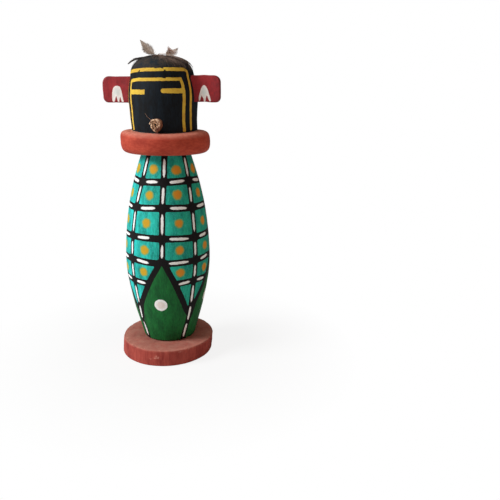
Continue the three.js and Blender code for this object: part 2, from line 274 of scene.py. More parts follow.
def make_room():
    """White to the camera, and a weak warm glow to everything else."""
    world = bpy.data.worlds.new("pale_room")
    bpy.context.scene.world = world
    world.use_nodes = True
    tree = world.node_tree
    tree.nodes.clear()
    glow = socket(tree, "ShaderNodeBackground", ROOM_GLOW)
    white = socket(tree, "ShaderNodeBackground", {"Color": PLAIN_WHITE, "Strength": 1.0})
    seen = node(tree, "ShaderNodeLightPath").outputs["Is Camera Ray"]
    both = socket(tree, "ShaderNodeMixShader", {0: seen, 1: glow, 2: white})
    node(tree, "ShaderNodeOutputWorld", {"Surface": both})


def area_light(name, place, size, power, colour):
    light = bpy.data.lights.new(name, "AREA")
    light.shape = "DISK"
    light.size = size
    light.energy = power
    light.color = colour
    made = link(name, light)
    made.rotation_euler = (AIMED_AT - Vector(place)).to_track_quat("-Z", "Y").to_euler()
    made.location = place
    made.visible_camera = False


make_room()
for name, light in LIGHTS.items():
    area_light(name, **light)
bpy.context.scene.view_settings.view_transform = "Standard"
print("lights:", {name: light["power"] for name, light in LIGHTS.items()})

# %% [markdown]
# A carved figure is nearly a turned one, so it is made the way a lathe works: one profile, from the
# foot to the crown, carried round an axis. The profile goes through a few stations of the carving,
# and the ruff and dome are fuller than a plain quarter round.

# %% The figure's profile
BODY_RADIUS = 24.9
BODY_SHAPE = ((0, 0.640), (0.2, 0.858), (0.4, 1.0), (0.6, 0.966), (0.8, 0.820), (1, 0.563))
MASK_RADIUS = 19.3
MASK_SHAPE = ((0, 0.958), (0.35, 0.98), (0.62, 1.002), (0.84, 0.972), (1, 0.924))
FOOT_EDGE = 1.7
RUFF_RADIUS = 25.4
RUFF_ROLL = 6.5
RUFF_TOP_SQUARENESS = 3.4
RUFF_FOOT_SQUARENESS = 2.9
DOME_SQUARENESS = 2.52
DOME_RADIUS = MASK_RADIUS * MASK_SHAPE[-1][1]
FOOT_STEPS = 6
BODY_STEPS = 43
RUFF_STEPS = 43
MASK_STEPS = 15
DOME_STEPS = 44


def through(points, steps):
    """A smooth curve through some points, with so many steps between each two."""
    points = np.array(points, float)
    points = np.vstack([2 * points[0] - points[1], points, 2 * points[-1] - points[-2]])
    curve = []
    for a, b, c, d in zip(points, points[1:], points[2:], points[3:]):
        for t in np.linspace(0, 1, steps, endpoint=False):
            curve.append(0.5 * (2 * b + (c - a) * t + (2 * a - 5 * b + 4 * c - d) * t**2
                                + (3 * b - a - 3 * c + d) * t**3))
    return curve + [points[-2]]


def carved(shape, radius, bottom, height, steps):
    """Points (radius, level) on a smooth curve through the stations of a carving."""
    return [tuple(p) for p in through([(radius * out, bottom + height * up) for up, out in shape], steps)]


def full_round(angle, squareness):
    """Shares out and up of a fuller quarter round, at an angle from its outermost point."""
    power = 2 / squareness
    return math.cos(angle) ** power, math.copysign(abs(math.sin(angle)) ** power, angle)


def figure_profile():
    foot = BODY_RADIUS * BODY_SHAPE[0][1]
    profile = [(0, BASE_TOP), (foot / 2, BASE_TOP)]
    for angle in np.linspace(0, QUARTER, FOOT_STEPS, endpoint=False):
        out = foot - FOOT_EDGE + FOOT_EDGE * math.sin(angle)
        profile.append((out, BASE_TOP + FOOT_EDGE * (1 - math.cos(angle))))
    shape = ((FOOT_EDGE / BODY_HEIGHT, BODY_SHAPE[0][1]),) + BODY_SHAPE[1:]
    profile += carved(shape, BODY_RADIUS, BASE_TOP, BODY_HEIGHT, BODY_STEPS)
    middle = (RUFF_BOTTOM + MASK_BOTTOM) / 2
    for angle in np.linspace(-QUARTER, QUARTER, RUFF_STEPS):
        out, up = full_round(angle, RUFF_FOOT_SQUARENESS if angle < 0 else RUFF_TOP_SQUARENESS)
        profile.append((RUFF_RADIUS - RUFF_ROLL + RUFF_ROLL * out, middle + RUFF_HEIGHT / 2 * up))
    profile += carved(MASK_SHAPE, MASK_RADIUS, MASK_BOTTOM, MASK_HEIGHT, MASK_STEPS)
    for angle in np.linspace(0, QUARTER, DOME_STEPS)[1:-1]:
        out, up = full_round(angle, DOME_SQUARENESS)
        profile.append((DOME_RADIUS * out, DOME_BOTTOM + DOME_RISE * up))
    return profile + [(0, CROWN)]


profile = figure_profile()
print(len(profile), "profile points, widest", round(max(p[0] for p in profile), 2), "mm")

# %% [markdown]
# Geometry Nodes carry the profile round. A grid has one row for each point of the profile: the row picks
# its point, and the share round turns it about the axis. A knife leaves shallow facets, so stretched
# noise moves the surface in and out by a tenth of a millimetre, and the axis leans as the real one does.

# %% Tree that turns and carves a profile
AROUND = 270
KNIFE_DEPTH = 0.16 * MM
FACET_STRETCH = (1, 1, 0.3)
FACETS_FADE = 6 * MM
WELD = 0.02 * MM
LEAN = ((BASE_TOP, 0.4), ((RUFF_BOTTOM + MASK_BOTTOM) / 2, 1.0), (MASK_BOTTOM + RUFF_HEIGHT / 2, 0.2))


def new_tree(name, kind, inputs, outputs):
    """A node group: its inputs are (name, type, default) and its outputs are (name, type)."""
    tree = bpy.data.node_groups.new(name, kind)
    for label, sort, value in inputs:
        entry = tree.interface.new_socket(label, in_out="INPUT", socket_type="NodeSocket" + sort)
        if value is not None:
            entry.default_value = value
    for label, sort in outputs:
        tree.interface.new_socket(label, in_out="OUTPUT", socket_type="NodeSocket" + sort)
    return tree, node(tree, "NodeGroupInput").outputs


def geometry_tree(name, sizes):
    shape = ("Geometry", "Geometry")
    inputs = [(*shape, None)] + sizes + [("Finish", "Material", None)]
    return new_tree(name, "GeometryNodeTree", inputs, [shape])


def end_tree(tree, given, shape):
    """Every tree ends alike: real points in their material, because the export drops instances."""
    real = socket(tree, "GeometryNodeRealizeInstances", {"Geometry": shape})
    finish = socket(tree, "GeometryNodeSetMaterial", {"Geometry": real, "Material": given["Finish"]})
    node(tree, "NodeGroupOutput", {"Geometry": finish})
    return tree


def store(tree, shape, name, value, domain="POINT"):
    return socket(tree, "GeometryNodeStoreNamedAttribute", {
        "Geometry": shape, "Name": name, "Value": value}, data_type="FLOAT", domain=domain)


def leaned(tree, up):
    """How far the axis has leaned to the side at a level."""
    lean = 0.0
    for (low, a), (high, b) in zip(LEAN, LEAN[1:]):
        lean = plus(tree, lean, spread(tree, up, low * MM, high * MM, 0.0, (b - a) * MM))
    return plus(tree, lean, LEAN[0][1] * MM)


def turned_tree():
    tree, given = geometry_tree("turned_and_carved", [
        ("Around", "Int", AROUND), ("Along", "Int", len(profile)), ("Knife depth", "Float", KNIFE_DEPTH),
        ("Facets per metre", "Float", 130.0), ("Seed", "Int", 7)])
    skin = socket(tree, "GeometryNodeMeshGrid", {
        "Size X": 1, "Size Y": 1, "Vertices X": given["Around"], "Vertices Y": given["Along"]})
    share = shares_of(tree, socket(tree, "GeometryNodeInputPosition"))
    turn = times(tree, share["X"], 2 * math.pi)
    rows = minus(tree, given["Along"], 1.0)
    row = calc(tree, "ROUND", times(tree, plus(tree, share["Y"], 0.5), rows))
    sample = node(tree, "GeometryNodeSampleIndex", {
        "Geometry": given["Geometry"], "Value": socket(tree, "GeometryNodeInputPosition"), "Index": row},
        data_type="FLOAT_VECTOR").outputs["Value"]
    on_profile = shares_of(tree, sample)
    out, up = on_profile["X"], on_profile["Z"]
    outward = xyz(tree, X=calc(tree, "SINE", turn), Y=times(tree, calc(tree, "COSINE", turn), -1.0))
    turned = vectors(tree, "ADD", scaled(tree, outward, out), xyz(tree, Z=up))
    facets = socket(tree, "ShaderNodeTexNoise", {
        "Vector": vectors(tree, "MULTIPLY", turned, FACET_STRETCH), "W": given["Seed"],
        "Scale": given["Facets per metre"], "Detail": 2.0}, noise_dimensions="4D")
    near_axis = spread(tree, out, 0.0, FACETS_FADE)
    depth = times(tree, minus(tree, facets, 0.5), near_axis)
    depth = times(tree, depth, times(tree, given["Knife depth"], 2.0))
    cut = vectors(tree, "ADD", turned, scaled(tree, outward, depth))
    for label, value in (("level", up), ("out", out)):
        skin = store(tree, skin, label, calc(tree, "DIVIDE", value, MM))
    place = vectors(tree, "ADD", cut, xyz(tree, X=leaned(tree, up)))
    skin = socket(tree, "GeometryNodeSetPosition", {"Geometry": skin, "Position": place})
    skin = socket(tree, "GeometryNodeMergeByDistance", {"Geometry": skin, "Distance": WELD})
    return end_tree(tree, given, socket(tree, "GeometryNodeSetShadeSmooth", {"Geometry": skin}))


TURNED = turned_tree()
print(len(TURNED.nodes), "nodes turn the figure")

# %% [markdown]
# A modifier runs a tree over an object. Its inputs are set by the socket's identifier, and then the
# result is kept as a plain mesh, so the modifier goes. The figure grows from its profile as a bare line.

# %% The figure
def grow(name, source, tree, sizes):
    """Run a tree over an object and keep the result as a plain mesh with no modifier."""
    modifier = source.modifiers.new("tree", "NODES")
    modifier.node_group = tree
    for item in tree.interface.items_tree:
        if item.in_out == "INPUT" and item.name in sizes:
            modifier[item.identifier] = sizes[item.name]
    seen = source.evaluated_get(bpy.context.evaluated_depsgraph_get())
    mesh = bpy.data.meshes.new_from_object(seen)
    mesh.name = name
    for index in reversed(range(len(mesh.materials))):
        if mesh.materials[index] is None:
            mesh.materials.pop(index=index)
    bpy.data.objects.remove(source)
    return link(name, mesh)


def polyline(points):
    """A bare line of edges, for a tree to follow."""
    mesh = bpy.data.meshes.new("line")
    mesh.from_pydata([tuple(p) for p in points], [(i, i + 1) for i in range(len(points) - 1)], [])
    return link("line", mesh)


figure_paint, paint_tree, paint_shader = finish_material("painted_root_wood", {"Specular IOR Level": 0.2})
lathe_line = polyline([(r * MM, 0, z * MM) for r, z in profile])
figure = grow("painted_figure", lathe_line, TURNED, {"Finish": figure_paint})
print(len(figure.data.polygons), "faces on the figure, materials", [m.name for m in figure.data.materials])

# %% [markdown]
# A hand-cut figure is never quite its profile: the ruff dips in front and is fuller at its foot, and the
# dome is flatter, mostly on its right. So every point of the skin settles a little. The two stored
# numbers, its level and its distance from the axis, still tell where it sits in the painter's plan.

# %% The figure settles
RUFF_SAG = 1.0
SAG_FACES = 8
SAG_WIDTH = 75
SAG_GROWS = (RUFF_BOTTOM + 3, 7)
SAG_ENDS = (MASK_BOTTOM + 2, 10)
FOOT_SAG = 0.55
FOOT_SAG_REACH = 6
DOME_SINK = 0.4
DOME_RIGHT_TRIM = 0.55
TRIM_GROWS = (MASK_BOTTOM + 22, 10)


def read(mesh, name):
    values = np.empty(len(mesh.vertices), np.float32)
    mesh.attributes[name].data.foreach_get("value", values)
    return values.astype(float)


def write(mesh, name, values):
    mesh.attributes.new(name, "FLOAT", "POINT").data.foreach_set("value", np.asarray(values, np.float32))


def places_of(piece):
    """The points of a piece in millimetres, one row each."""
    places = np.empty(len(piece.data.vertices) * 3, np.float32)
    piece.data.vertices.foreach_get("co", places)
    return places.reshape(-1, 3).astype(float) / MM


def move_to(piece, places):
    piece.data.vertices.foreach_set("co", (places * MM).astype(np.float32).ravel())
    piece.data.update()


def ramp(values, start, length):
    """0 up to the start, 1 from one length past it, and straight between."""
    return np.clip((values - start) / length, 0, 1)


level = read(figure.data, "level")
out = read(figure.data, "out")
places = places_of(figure)
turn = np.degrees(np.arctan2(places[:, 0] - np.interp(level, *zip(*LEAN)), -places[:, 1]))
in_front = np.clip(1 - ((turn - SAG_FACES) / SAG_WIDTH) ** 2, 0, 1)
in_front *= ramp(level, *SAG_GROWS) * (1 - ramp(level, *SAG_ENDS))
at_foot = np.clip(1 - np.abs(level - RUFF_BOTTOM) / FOOT_SAG_REACH, 0, 1) * FOOT_SAG
on_right = ramp(level, *TRIM_GROWS) * np.clip(np.sin(turn * DEGREE), 0, 1)
places[:, 0] -= DOME_RIGHT_TRIM * on_right
places[:, 2] -= RUFF_SAG * np.maximum(in_front, at_foot) + DOME_SINK * ramp(level, DOME_BOTTOM, DOME_RISE)
move_to(figure, places)
print("top of the settled figure", round(places[:, 2].max(), 2), "mm, of", round(CROWN, 2))

# %% [markdown]
# The painter worked from a plan: eight upright lines, five rings, a dot in each cell, and four pointed
# petals whose sides meet on every second upright. Each kind of stroke becomes one number per point of
# the skin: its distance in millimetres from the stroke's edge, negative inside. A material can then
# paint a crisp edge finer than the mesh, and let it wobble as a brush does.

# %% Distances on the skin
FAR = 50.0
SHOWN = 5.0


def across(at):
    """Millimetres round the skin from every point to a turn in degrees, the short way."""
    return ((at - turn + 180) % 360 - 180) * np.maximum(out, 1) * DEGREE


def to_segment(x, z, step_x, step_z):
    """Distance to a straight stroke, from where it starts as seen from a point and the step to its end."""
    share = -(x * step_x + z * step_z) / np.maximum(step_x * step_x + step_z * step_z, 1e-9)
    share = np.clip(share, 0, 1)
    return np.hypot(x + share * step_x, z + share * step_z)


def to_line(points):
    """Millimetres from every point of the skin to a line of (turn, level) points."""
    best = np.full(len(turn), FAR)
    for (t0, z0), (t1, z1) in zip(points, points[1:]):
        best = np.minimum(best, to_segment(across(t0), z0 - level, (t1 - t0) * out * DEGREE, z1 - z0))
    return best


def nearest(distances):
    return np.min(list(distances), axis=0)


def soft_union(a, b, blend=0.7):
    """The nearer of two distances, with the inner corners filled as wet paint fills them."""
    share = np.clip(0.5 + 0.5 * (b - a) / blend, 0, 1)
    return b + (a - b) * share - blend * share * (1 - share)


def write_distance(mesh, name, distance):
    """Store a distance, cut off where it no longer shows."""
    write(mesh, name, np.clip(distance, -SHOWN, SHOWN))


print(len(turn), "points, nearest to the front line:", round(float(np.abs(across(0)).min()), 3), "mm")

# %% [markdown]
# Columns lean a little, because the painter drew them by eye. Three of them show well, and are given
# by a few points; the rest follow the same spacing round the back.

# %% Plan of the lines
RINGS = (107.5, 93.1, 76.4, 62.7, 50.0)
RING_WANDER = 0.45
COLUMN_STEP = 45.5
COLUMN_WANDER = 3
COLUMNS = {
    0: ((124, 11.2), (108, 10.2), (100, 8.4), (80, 7.3), (68, 7.4), (61, 5.8)),
    -1: ((124, -28.4), (108, -31.5), (100, -35), (92, -38), (78, -39.7), (62, -40.5), (45, -38.6),
         (33, -39.5), (24, -42.5), (9, -38)),
    1: ((124, 59), (114, 58.6), (107, 56), (99, 54.6), (78, 54), (61, 52.8), (45, 50.6), (33, 50.5),
        (24, 49), (9, 43)),
}


def column(index):
    """The points of an upright line: those of a drawn one, shifted round. Lines 4 and -4 are the same."""
    if index in COLUMNS:
        return [(t, z) for z, t in COLUMNS[index]]
    if index == -4:
        return [(t - 360, z) for t, z in column(4)]
    near = -1 if index % 2 else 0
    shift = (index - near) * COLUMN_STEP + COLUMN_WANDER * math.sin(index * 1.7)
    return [(t + shift, z) for z, t in COLUMNS[near]]


def column_turn(index, at):
    points = sorted((z, t) for t, z in column(index))
    return float(np.interp(at, [z for z, t in points], [t for z, t in points]))


def ring(level_of_ring, index):
    """A ring is drawn cell by cell, each stretch sagging or rising a little."""
    points = []
    for step in range(-4, 5):
        wander = RING_WANDER * math.sin(step * 2.1 + index * 1.3)
        points.append((column_turn(step, level_of_ring), level_of_ring + wander))
    points[-1] = (points[-1][0], points[0][1])
    return points


print("the front column stands at", round(column_turn(0, RINGS[2]), 1), "degrees on the middle ring")

# %% [markdown]
# The sides of the petals are one zigzag round the body. Inside a petal the even columns and the rings
# stop, so their ink is moved out of reach there.

# %% Black lines
COLUMN_WIDTH = 3.5
RING_WIDTH = 4.0
SIDE_WIDTH = 3.4
PETAL_TOP = 62.5
PETAL_FOOT = 31.5
PETAL_LEFT = ((0, 64.8), (0.35, 52.0), (0.54, 45.0), (0.82, 36.0), (1, PETAL_FOOT))
PETAL_RIGHT = ((0, 64.8), (0.33, 52.2), (0.51, 44.2), (0.76, 33.6), (0.9, 29.5), (1, 26.2))
ACROSS_SIDE = 0.55
EVEN_COLUMNS = (-2, 0, 2, 4)


def petal_sides():
    """The zigzag of the petals: up to every even column, and down to every odd one in a slight bow."""
    points = []
    for peak in (-4,) + EVEN_COLUMNS:
        for share, z in PETAL_LEFT[::-1]:
            points.append((column_turn(peak, z) - share * COLUMN_STEP, z))
        for share, z in PETAL_RIGHT[1:]:
            points.append((column_turn(peak, z) + share * COLUMN_STEP, z))
    return sorted(points)


upright_ink = nearest(to_line(column(i)) for i in range(-3, 5)) - COLUMN_WIDTH / 2
even_ink = nearest(to_line(column(i)) for i in EVEN_COLUMNS) - COLUMN_WIDTH / 2
ring_ink = nearest(to_line(ring(z, i)) for i, z in enumerate(RINGS)) - RING_WIDTH / 2
sides = petal_sides()
zigzag = np.interp(turn, [t for t, z in sides], [z for t, z in sides])
inside_petal = (level - zigzag) * ACROSS_SIDE
upright_ink = np.where((level < PETAL_TOP) & (even_ink <= upright_ink + 1e-6), FAR, upright_ink)
ring_ink = np.where(inside_petal < -1, FAR, ring_ink)
ink = soft_union(soft_union(upright_ink, ring_ink), to_line(sides) - SIDE_WIDTH / 2)
write_distance(figure.data, "ink", ink)
write_distance(figure.data, "petal", inside_petal)
print("inked share of the skin:", round(float((ink < 0).mean()), 3))

# %% [markdown]
# A white dash lies along the middle of every stretch of line. It stops short of the crossings by an
# uneven gap, and the lowest ring has shorter ones, because the petals cut it.

# %% Dashes
DASH_HALF_WIDTH = 0.69
RING_DASH_SHARE = 1.16
DASH_ENDS_FULL = 4.0
DASH_SIDES_FULL = 0.45
COLUMN_GAPS = (2.4, 3.3)
RING_GAPS = (8.6, 10.8)
GAP_AT_PETAL = 17.3
LOWEST_AFTER_PEAK = (5.5, 21)
LOWEST_BEFORE_PEAK = (23, 6.5)
DASHES_BETWEEN_PETALS = ((33.2, 24.2), (21.8, 12.6))
RING_DASH_LIFT = 0.2
rng = np.random.default_rng(21)


def to_dash(start, end, half_width):
    """Distance to a pointed oval stroke from one (turn, level) point to another."""
    (t0, z0), (t1, z1) = start, end
    middle = across((t0 + t1) / 2)
    rise = (z0 + z1) / 2 - level
    along_x = (t1 - t0) * out * DEGREE
    along_z = z1 - z0
    length = np.maximum(np.hypot(along_x, along_z), 1e-6)
    a = (middle * along_x + rise * along_z) / length
    b = (middle * along_z - rise * along_x) / length
    reach = (np.abs(a) / (length / 2)) ** DASH_ENDS_FULL + (np.abs(b) / half_width) ** 2
    return (reach ** DASH_SIDES_FULL - 1) * half_width


def column_dash(index, high, low):
    return (column_turn(index, high), high), (column_turn(index, low), low), 1.0


def all_dashes():
    """Every dash as its two ends and its share of the usual width."""
    dashes = []
    levels = [RUFF_BOTTOM + 0.5] + list(RINGS)
    for index in range(-3, 5):
        stops = levels[:5] if index % 2 == 0 else levels + [PETAL_FOOT + 1.5]
        for high, low in zip(stops, stops[1:]):
            gap = rng.uniform(*COLUMN_GAPS, 2)
            dashes.append(column_dash(index, high - gap[0], low + gap[1]))
        if index % 2:
            dashes += [column_dash(index, high, low) for high, low in DASHES_BETWEEN_PETALS]
    for number, z in enumerate(RINGS):
        points = ring(z, number)
        for cell, ((t0, z0), (t1, z1)) in enumerate(zip(points, points[1:])):
            before, after = rng.uniform(*RING_GAPS, 2)
            if z in RINGS[2:4] and cell % 2:
                after = GAP_AT_PETAL
            a, b = t0 + before, t1 - after
            if z == RINGS[-1] and cell % 2:
                a, b = t0 + LOWEST_AFTER_PEAK[0], t0 + LOWEST_AFTER_PEAK[1]
            elif z == RINGS[-1]:
                a, b = t1 - LOWEST_BEFORE_PEAK[0], t1 - LOWEST_BEFORE_PEAK[1]
            lift = rng.uniform(-RING_DASH_LIFT, RING_DASH_LIFT, 2)
            dashes.append(((a, z0 + lift[0]), (b, z1 + lift[1]), RING_DASH_SHARE))
    return dashes


dashes = all_dashes()
dash = np.full(len(turn), FAR)
for start, end, share in dashes:
    dash = np.minimum(dash, to_dash(start, end, DASH_HALF_WIDTH * share))
write_distance(figure.data, "dash", dash)
print(len(dashes), "dashes cover", round(float((dash < 0).mean()), 3))

# %% [markdown]
# A fuzzy yellow dot sits in each cell, never quite in its middle, and each petal holds a white disc with
# a tiny dot.

# %% Dots and discs
DOT_RADIUS = 2.4
DOT_UNEVEN = 0.07
DOT_LEFT_BY = 0.6
TOP_DOTS_DROP = 1.2
LOWEST_DOTS_ASIDE = 2.6
DISC_RADIUS = 3.8
DISC_LEVEL = 36.2
DISC_TURN = 2.2
DISC_STEP = 91


def all_dots():
    """Places (turn, level) of the dots, one for each cell."""
    levels = [RUFF_BOTTOM] + list(RINGS)
    for high, low in zip(levels, levels[1:]):
        for index in range(-4, 4):
            drop = TOP_DOTS_DROP if high == RUFF_BOTTOM else 0
            z = (high + low) / 2 - drop + rng.uniform(-0.4, 0.4)
            aside = 0
            if low == RINGS[-1]:
                aside = -LOWEST_DOTS_ASIDE if index % 2 else LOWEST_DOTS_ASIDE
            middle = (column_turn(index, z) + column_turn(index + 1, z)) / 2
            yield middle + aside - DOT_LEFT_BY + rng.uniform(-1, 1), z


dot = np.full(len(turn), FAR)
for t, z in all_dots():
    radius = DOT_RADIUS * rng.uniform(1 - DOT_UNEVEN, 1 + DOT_UNEVEN)
    dot = np.minimum(dot, np.hypot(across(t), z - level) - radius)
disc = nearest(np.hypot(across(DISC_TURN + DISC_STEP * k), DISC_LEVEL - level) for k in range(4))
write_distance(figure.data, "dot", dot)
write(figure.data, "disc", np.clip(disc, 0, 9))
print("dots cover", round(float((dot < 0).mean()), 3))

# %% [markdown]
# The mask is black, framed by two nested yellow lines, and each eye is a short bar drawn in from the
# inner line. Small nicks cut the lines where the paint skipped. The ruff and the mask are told from the
# body by their own distances too, because the underside of the ruff is flat and its level says nothing.

# %% Lines of the mask, and the three zones
NECK = BODY_RADIUS * BODY_SHAPE[-1][1]
EYE_HALF = 1.25
NICK_HALF = 0.3
MASK_LINES = (
    (((-74, 165.6), (-45, 166.5), (-15, 166.9), (20, 167.2), (59, 167.6)), 0.92),
    (((59, 167.6), (64.5, 166.6), (66.5, 162), (66, 157), (65, 150), (66.5, 143), (66.3, 136.6)), 0.88),
    (((-66, 135.5), (-68, 148), (-70, 158), (-73, 165.5)), 0.9),
    (((-51, 135.2), (-49.5, 147), (-50.5, 155), (-52.3, 161.2)), 0.92),
    (((-52.3, 161.2), (-30, 161.8), (-5, 161.8), (25, 162.1), (47.5, 162.3)), 0.86),
    (((47.5, 162.3), (49.8, 159), (50.4, 155), (50, 145), (50.5, 135.9)), 0.98),
)
RIGHT_EYE = ((15.4, 156.1), (50, 156.3))
LEFT_EYE = (-50, -15.4, 155.35)
NICKS = (
    ((2, 167.9), (10, 168.1)), ((13, 168), (17, 167.8)), ((19, 166.9), (20.5, 166.5)),
    ((-62, 166.2), (-60, 166.4)), ((-30, 166.3), (-28, 166.5)), ((23, 164.9), (26, 164.8)),
    ((15, 162.9), (20, 162.8)),
)
eye_from, eye_to, eye_level = LEFT_EYE
left_eye = np.maximum(across(eye_from), -across(eye_to))
left_eye = np.maximum(np.abs(level - eye_level) - EYE_HALF, left_eye)
mask_line = nearest(to_line(points) - half for points, half in MASK_LINES)
mask_line = nearest((mask_line, to_line(RIGHT_EYE) - EYE_HALF, left_eye))
nicks = nearest(to_line(points) for points in NICKS) - NICK_HALF
mask_line = np.maximum(mask_line, -nicks)
mask_line = np.where(level > MASK_BOTTOM + 0.3, mask_line, FAR)
under_ruff = level - RUFF_BOTTOM + np.maximum(0, out - NECK - 0.1)
over_ruff = MASK_BOTTOM - level + np.maximum(0, out - (RUFF_RADIUS - RUFF_ROLL)) + 0.02
write_distance(figure.data, "mask_line", mask_line)
write_distance(figure.data, "ruff", np.minimum(under_ruff, over_ruff))
write(figure.data, "above", np.clip(level - MASK_BOTTOM, -5, 60))
print("yellow lines cover", round(float((mask_line < 0).mean()), 4))

# %% [markdown]
# Four finishes recur, so each is a node group: how a brush leaves streaks and ridges, how the edge of a
# painted shape wobbles, how dust and a painted highlight settle on what faces up, and how grit and chips
# speckle it. They give out only colours, masks and heights; the shader stays in each material.

# %% Shared finishes as node groups
def shader_group(name, inputs, outputs):
    return new_tree(name, "ShaderNodeTree", inputs, outputs)


def mix(tree, factor, under, over):
    return node(tree, "ShaderNodeMix", {"Factor": factor, 6: under, 7: over}, data_type="RGBA").outputs[2]


def give_out(tree, **results):
    node(tree, "NodeGroupOutput", results)
    return tree


def brush_group():
    """Streaks along a brush's path: Stretch is how the pattern is squeezed on each axis."""
    tree, given = shader_group("brush_streaks", [
        ("Stretch", "Vector", (1, 1, 0.12)), ("Scale", "Float", 900.0)],
        [("Tone", "Float"), ("Height", "Float")])
    place = vectors(tree, "MULTIPLY", object_place(tree), given["Stretch"])
    fine = noise(tree, place, given["Scale"], 3.0, 0.6)
    broad = noise(tree, place, times(tree, given["Scale"], 0.17))
    return give_out(tree, Tone=plus(tree, times(tree, fine, 0.45), times(tree, broad, 0.55)), Height=fine)


def layer_group():
    """A layer of paint over what lies under it, with an edge that wobbles and thins as a brush does."""
    tree, given = shader_group("paint_layer", [
        ("Under", "Color", (0, 0, 0, 1)), ("Paint", "Color", (1, 1, 1, 1)), ("Distance", "Float", 1.0),
        ("Wobble", "Float", 0.25), ("Softness", "Float", 0.12), ("Grain", "Float", 700.0)],
        [("Color", "Color")])
    slow = minus(tree, noise(tree, object_place(tree), 420.0, 1.0), 0.5)
    quick = minus(tree, noise(tree, object_place(tree), given["Grain"], 3.0, 0.7), 0.5)
    shake = times(tree, plus(tree, slow, times(tree, quick, 0.8)), given["Wobble"])
    soft = given["Softness"]
    cover = spread(tree, plus(tree, given["Distance"], shake), soft, times(tree, soft, -1.0),
                   interpolation_type="SMOOTHSTEP")
    return give_out(tree, Color=mix(tree, cover, given["Under"], given["Paint"]))


def dust_and_highlight_group():
    """Dust, rubbing and a painted highlight on what faces up: 0 on a wall or underside, towards 1 on a level
    top.
    """
    tree, given = shader_group("dust_and_top_highlight", [("Amount", "Float", 0.5), ("Patches", "Float", 240.0)],
                               [("Cover", "Float")])
    facing = shares_of(tree, node(tree, "ShaderNodeTexCoord").outputs["Normal"])["Z"]
    most = times(tree, spread(tree, facing, 0.25, 0.95), given["Amount"])
    patches = spread(tree, noise(tree, object_place(tree), given["Patches"], 5.0, 0.65), 0.35, 0.65)
    return give_out(tree, Cover=times(tree, most, plus(tree, 0.45, times(tree, patches, 0.55))))


def speck_group():
    """Small chips and specks where paint was knocked off or grit got in."""
    tree, given = shader_group("specks", [("Scale", "Float", 600.0), ("Amount", "Float", 0.3)],
                               [("Cover", "Float")])
    grit = noise(tree, object_place(tree), given["Scale"], 4.0, 0.75)
    least = minus(tree, 0.86, times(tree, given["Amount"], 0.25))
    return give_out(tree, Cover=spread(tree, grit, least, plus(tree, least, 0.04)))


BRUSH, LAYER, DUST_AND_HIGHLIGHT, SPECKS = brush_group(), layer_group(), dust_and_highlight_group(), speck_group()
print("node groups:", [group.name for group in (BRUSH, LAYER, DUST_AND_HIGHLIGHT, SPECKS)])

# %% [markdown]
# A material places these groups with its own values. Colours are written as a screen shows them, and
# every piece is declared in the same way: it rides on the root, and its solid is hidden.

# %% Words for painting
def placed(tree, group, inputs):
    """The outputs of a shared group, placed in a material with its own values."""
    return node(tree, "ShaderNodeGroup", inputs, node_tree=group).outputs


def brushed(tree, stretch, scale):
    return placed(tree, BRUSH, {"Stretch": stretch, "Scale": scale})


def coat(tree, under, paint, distance, wobble, softness, **more):
    return placed(tree, LAYER, {"Under": under, "Paint": paint, "Distance": distance, "Wobble": wobble,
                                "Softness": softness, **more})[0]


def srgb(red, green, blue):
    """A paint colour as seen on a screen, 0 to 255, as the linear colour that a shader takes."""
    linear = [((c / 255 + 0.055) / 1.055) ** 2.4 if c > 10 else c / 255 / 12.92 for c in (red, green, blue)]
    return (*linear, 1)


def attribute(tree, name):
    return node(tree, "ShaderNodeAttribute", attribute_name=name).outputs["Fac"]


def wire(tree, shader, colour, height, strength, depth):
    """Give a shader its colour, and ridges from a height."""
    ridges = socket(tree, "ShaderNodeBump", {"Height": height, "Strength": strength, "Distance": depth})
    tree.links.new(colour, shader.inputs["Base Color"])
    tree.links.new(ridges, shader.inputs["Normal"])


def declare(piece, solid):
    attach(piece, "root")
    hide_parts(solid)


def dressed(piece, painter, slot, solid, **settings):
    """Give a piece its material, hang it on the root and hide the solid it stands in for."""
    material, tree, shader = finish_material(piece.name + "_paint", {"Roughness": 0.85, **settings})
    painter(tree, shader)
    piece.data.materials.append(material)
    declare(piece, solid)
    print(piece.name, len(piece.data.polygons), "faces,", len(tree.nodes), "nodes of paint")


print("mid grey as a shader takes it:", [round(share, 3) for share in srgb(128, 128, 128)])

# %% [markdown]
# The figure's paint goes on in the order a painter lays it: turquoise ground and green petals, black
# lines, yellow dots, white dashes, then the ruff and the mask. The turquoise carries painted shade: it
# turns darker and greener towards the right. The streaks run up and down on the body, and round the ruff.

# %% Paint of the figure
# painted shade: the reach to each side over which the turquoise turns to its shaded colour
PAINTED_SHADE_TO = 16 * MM
ORANGER_TO = 12 * MM
GREY_FROM = 31.5
GREY_TO = 35.5
DISC_BLUSH = 2.4
DISC_DOT = 0.22
TURQUOISE = srgb(48, 214, 206)
# painted shade: the darker, greener turquoise painted on the body's right side
TURQUOISE_PAINTED_SHADE = srgb(38, 182, 146)
TURQUOISE_DEEP = srgb(12, 126, 112)
TURQUOISE_SPECK = srgb(84, 206, 222)
GREEN = srgb(28, 112, 52)
GREEN_DEEP = srgb(14, 78, 38)
INK = srgb(14, 9, 12)
WHITE = srgb(250, 248, 246)
DOT_YELLOW = srgb(200, 164, 38)
DOT_ORANGE = srgb(222, 144, 44)
DOT_EDGE = srgb(120, 166, 84)
TERRACOTTA = srgb(196, 80, 58)
TERRACOTTA_DEEP = srgb(160, 54, 38)
# dust and a painted highlight: the lighter red of the ruff's upward faces
TERRACOTTA_DUST_AND_HIGHLIGHT = srgb(222, 148, 128)
MASK_BLACK = srgb(18, 30, 40)
MASK_DEEP = srgb(3, 4, 7)
DOME_GREY = srgb(72, 60, 48)
LINE_YELLOW = srgb(228, 190, 66)
LINE_OCHRE = srgb(206, 152, 58)
PINK = srgb(240, 226, 220)
MIDDLE_GREY = srgb(150, 140, 140)


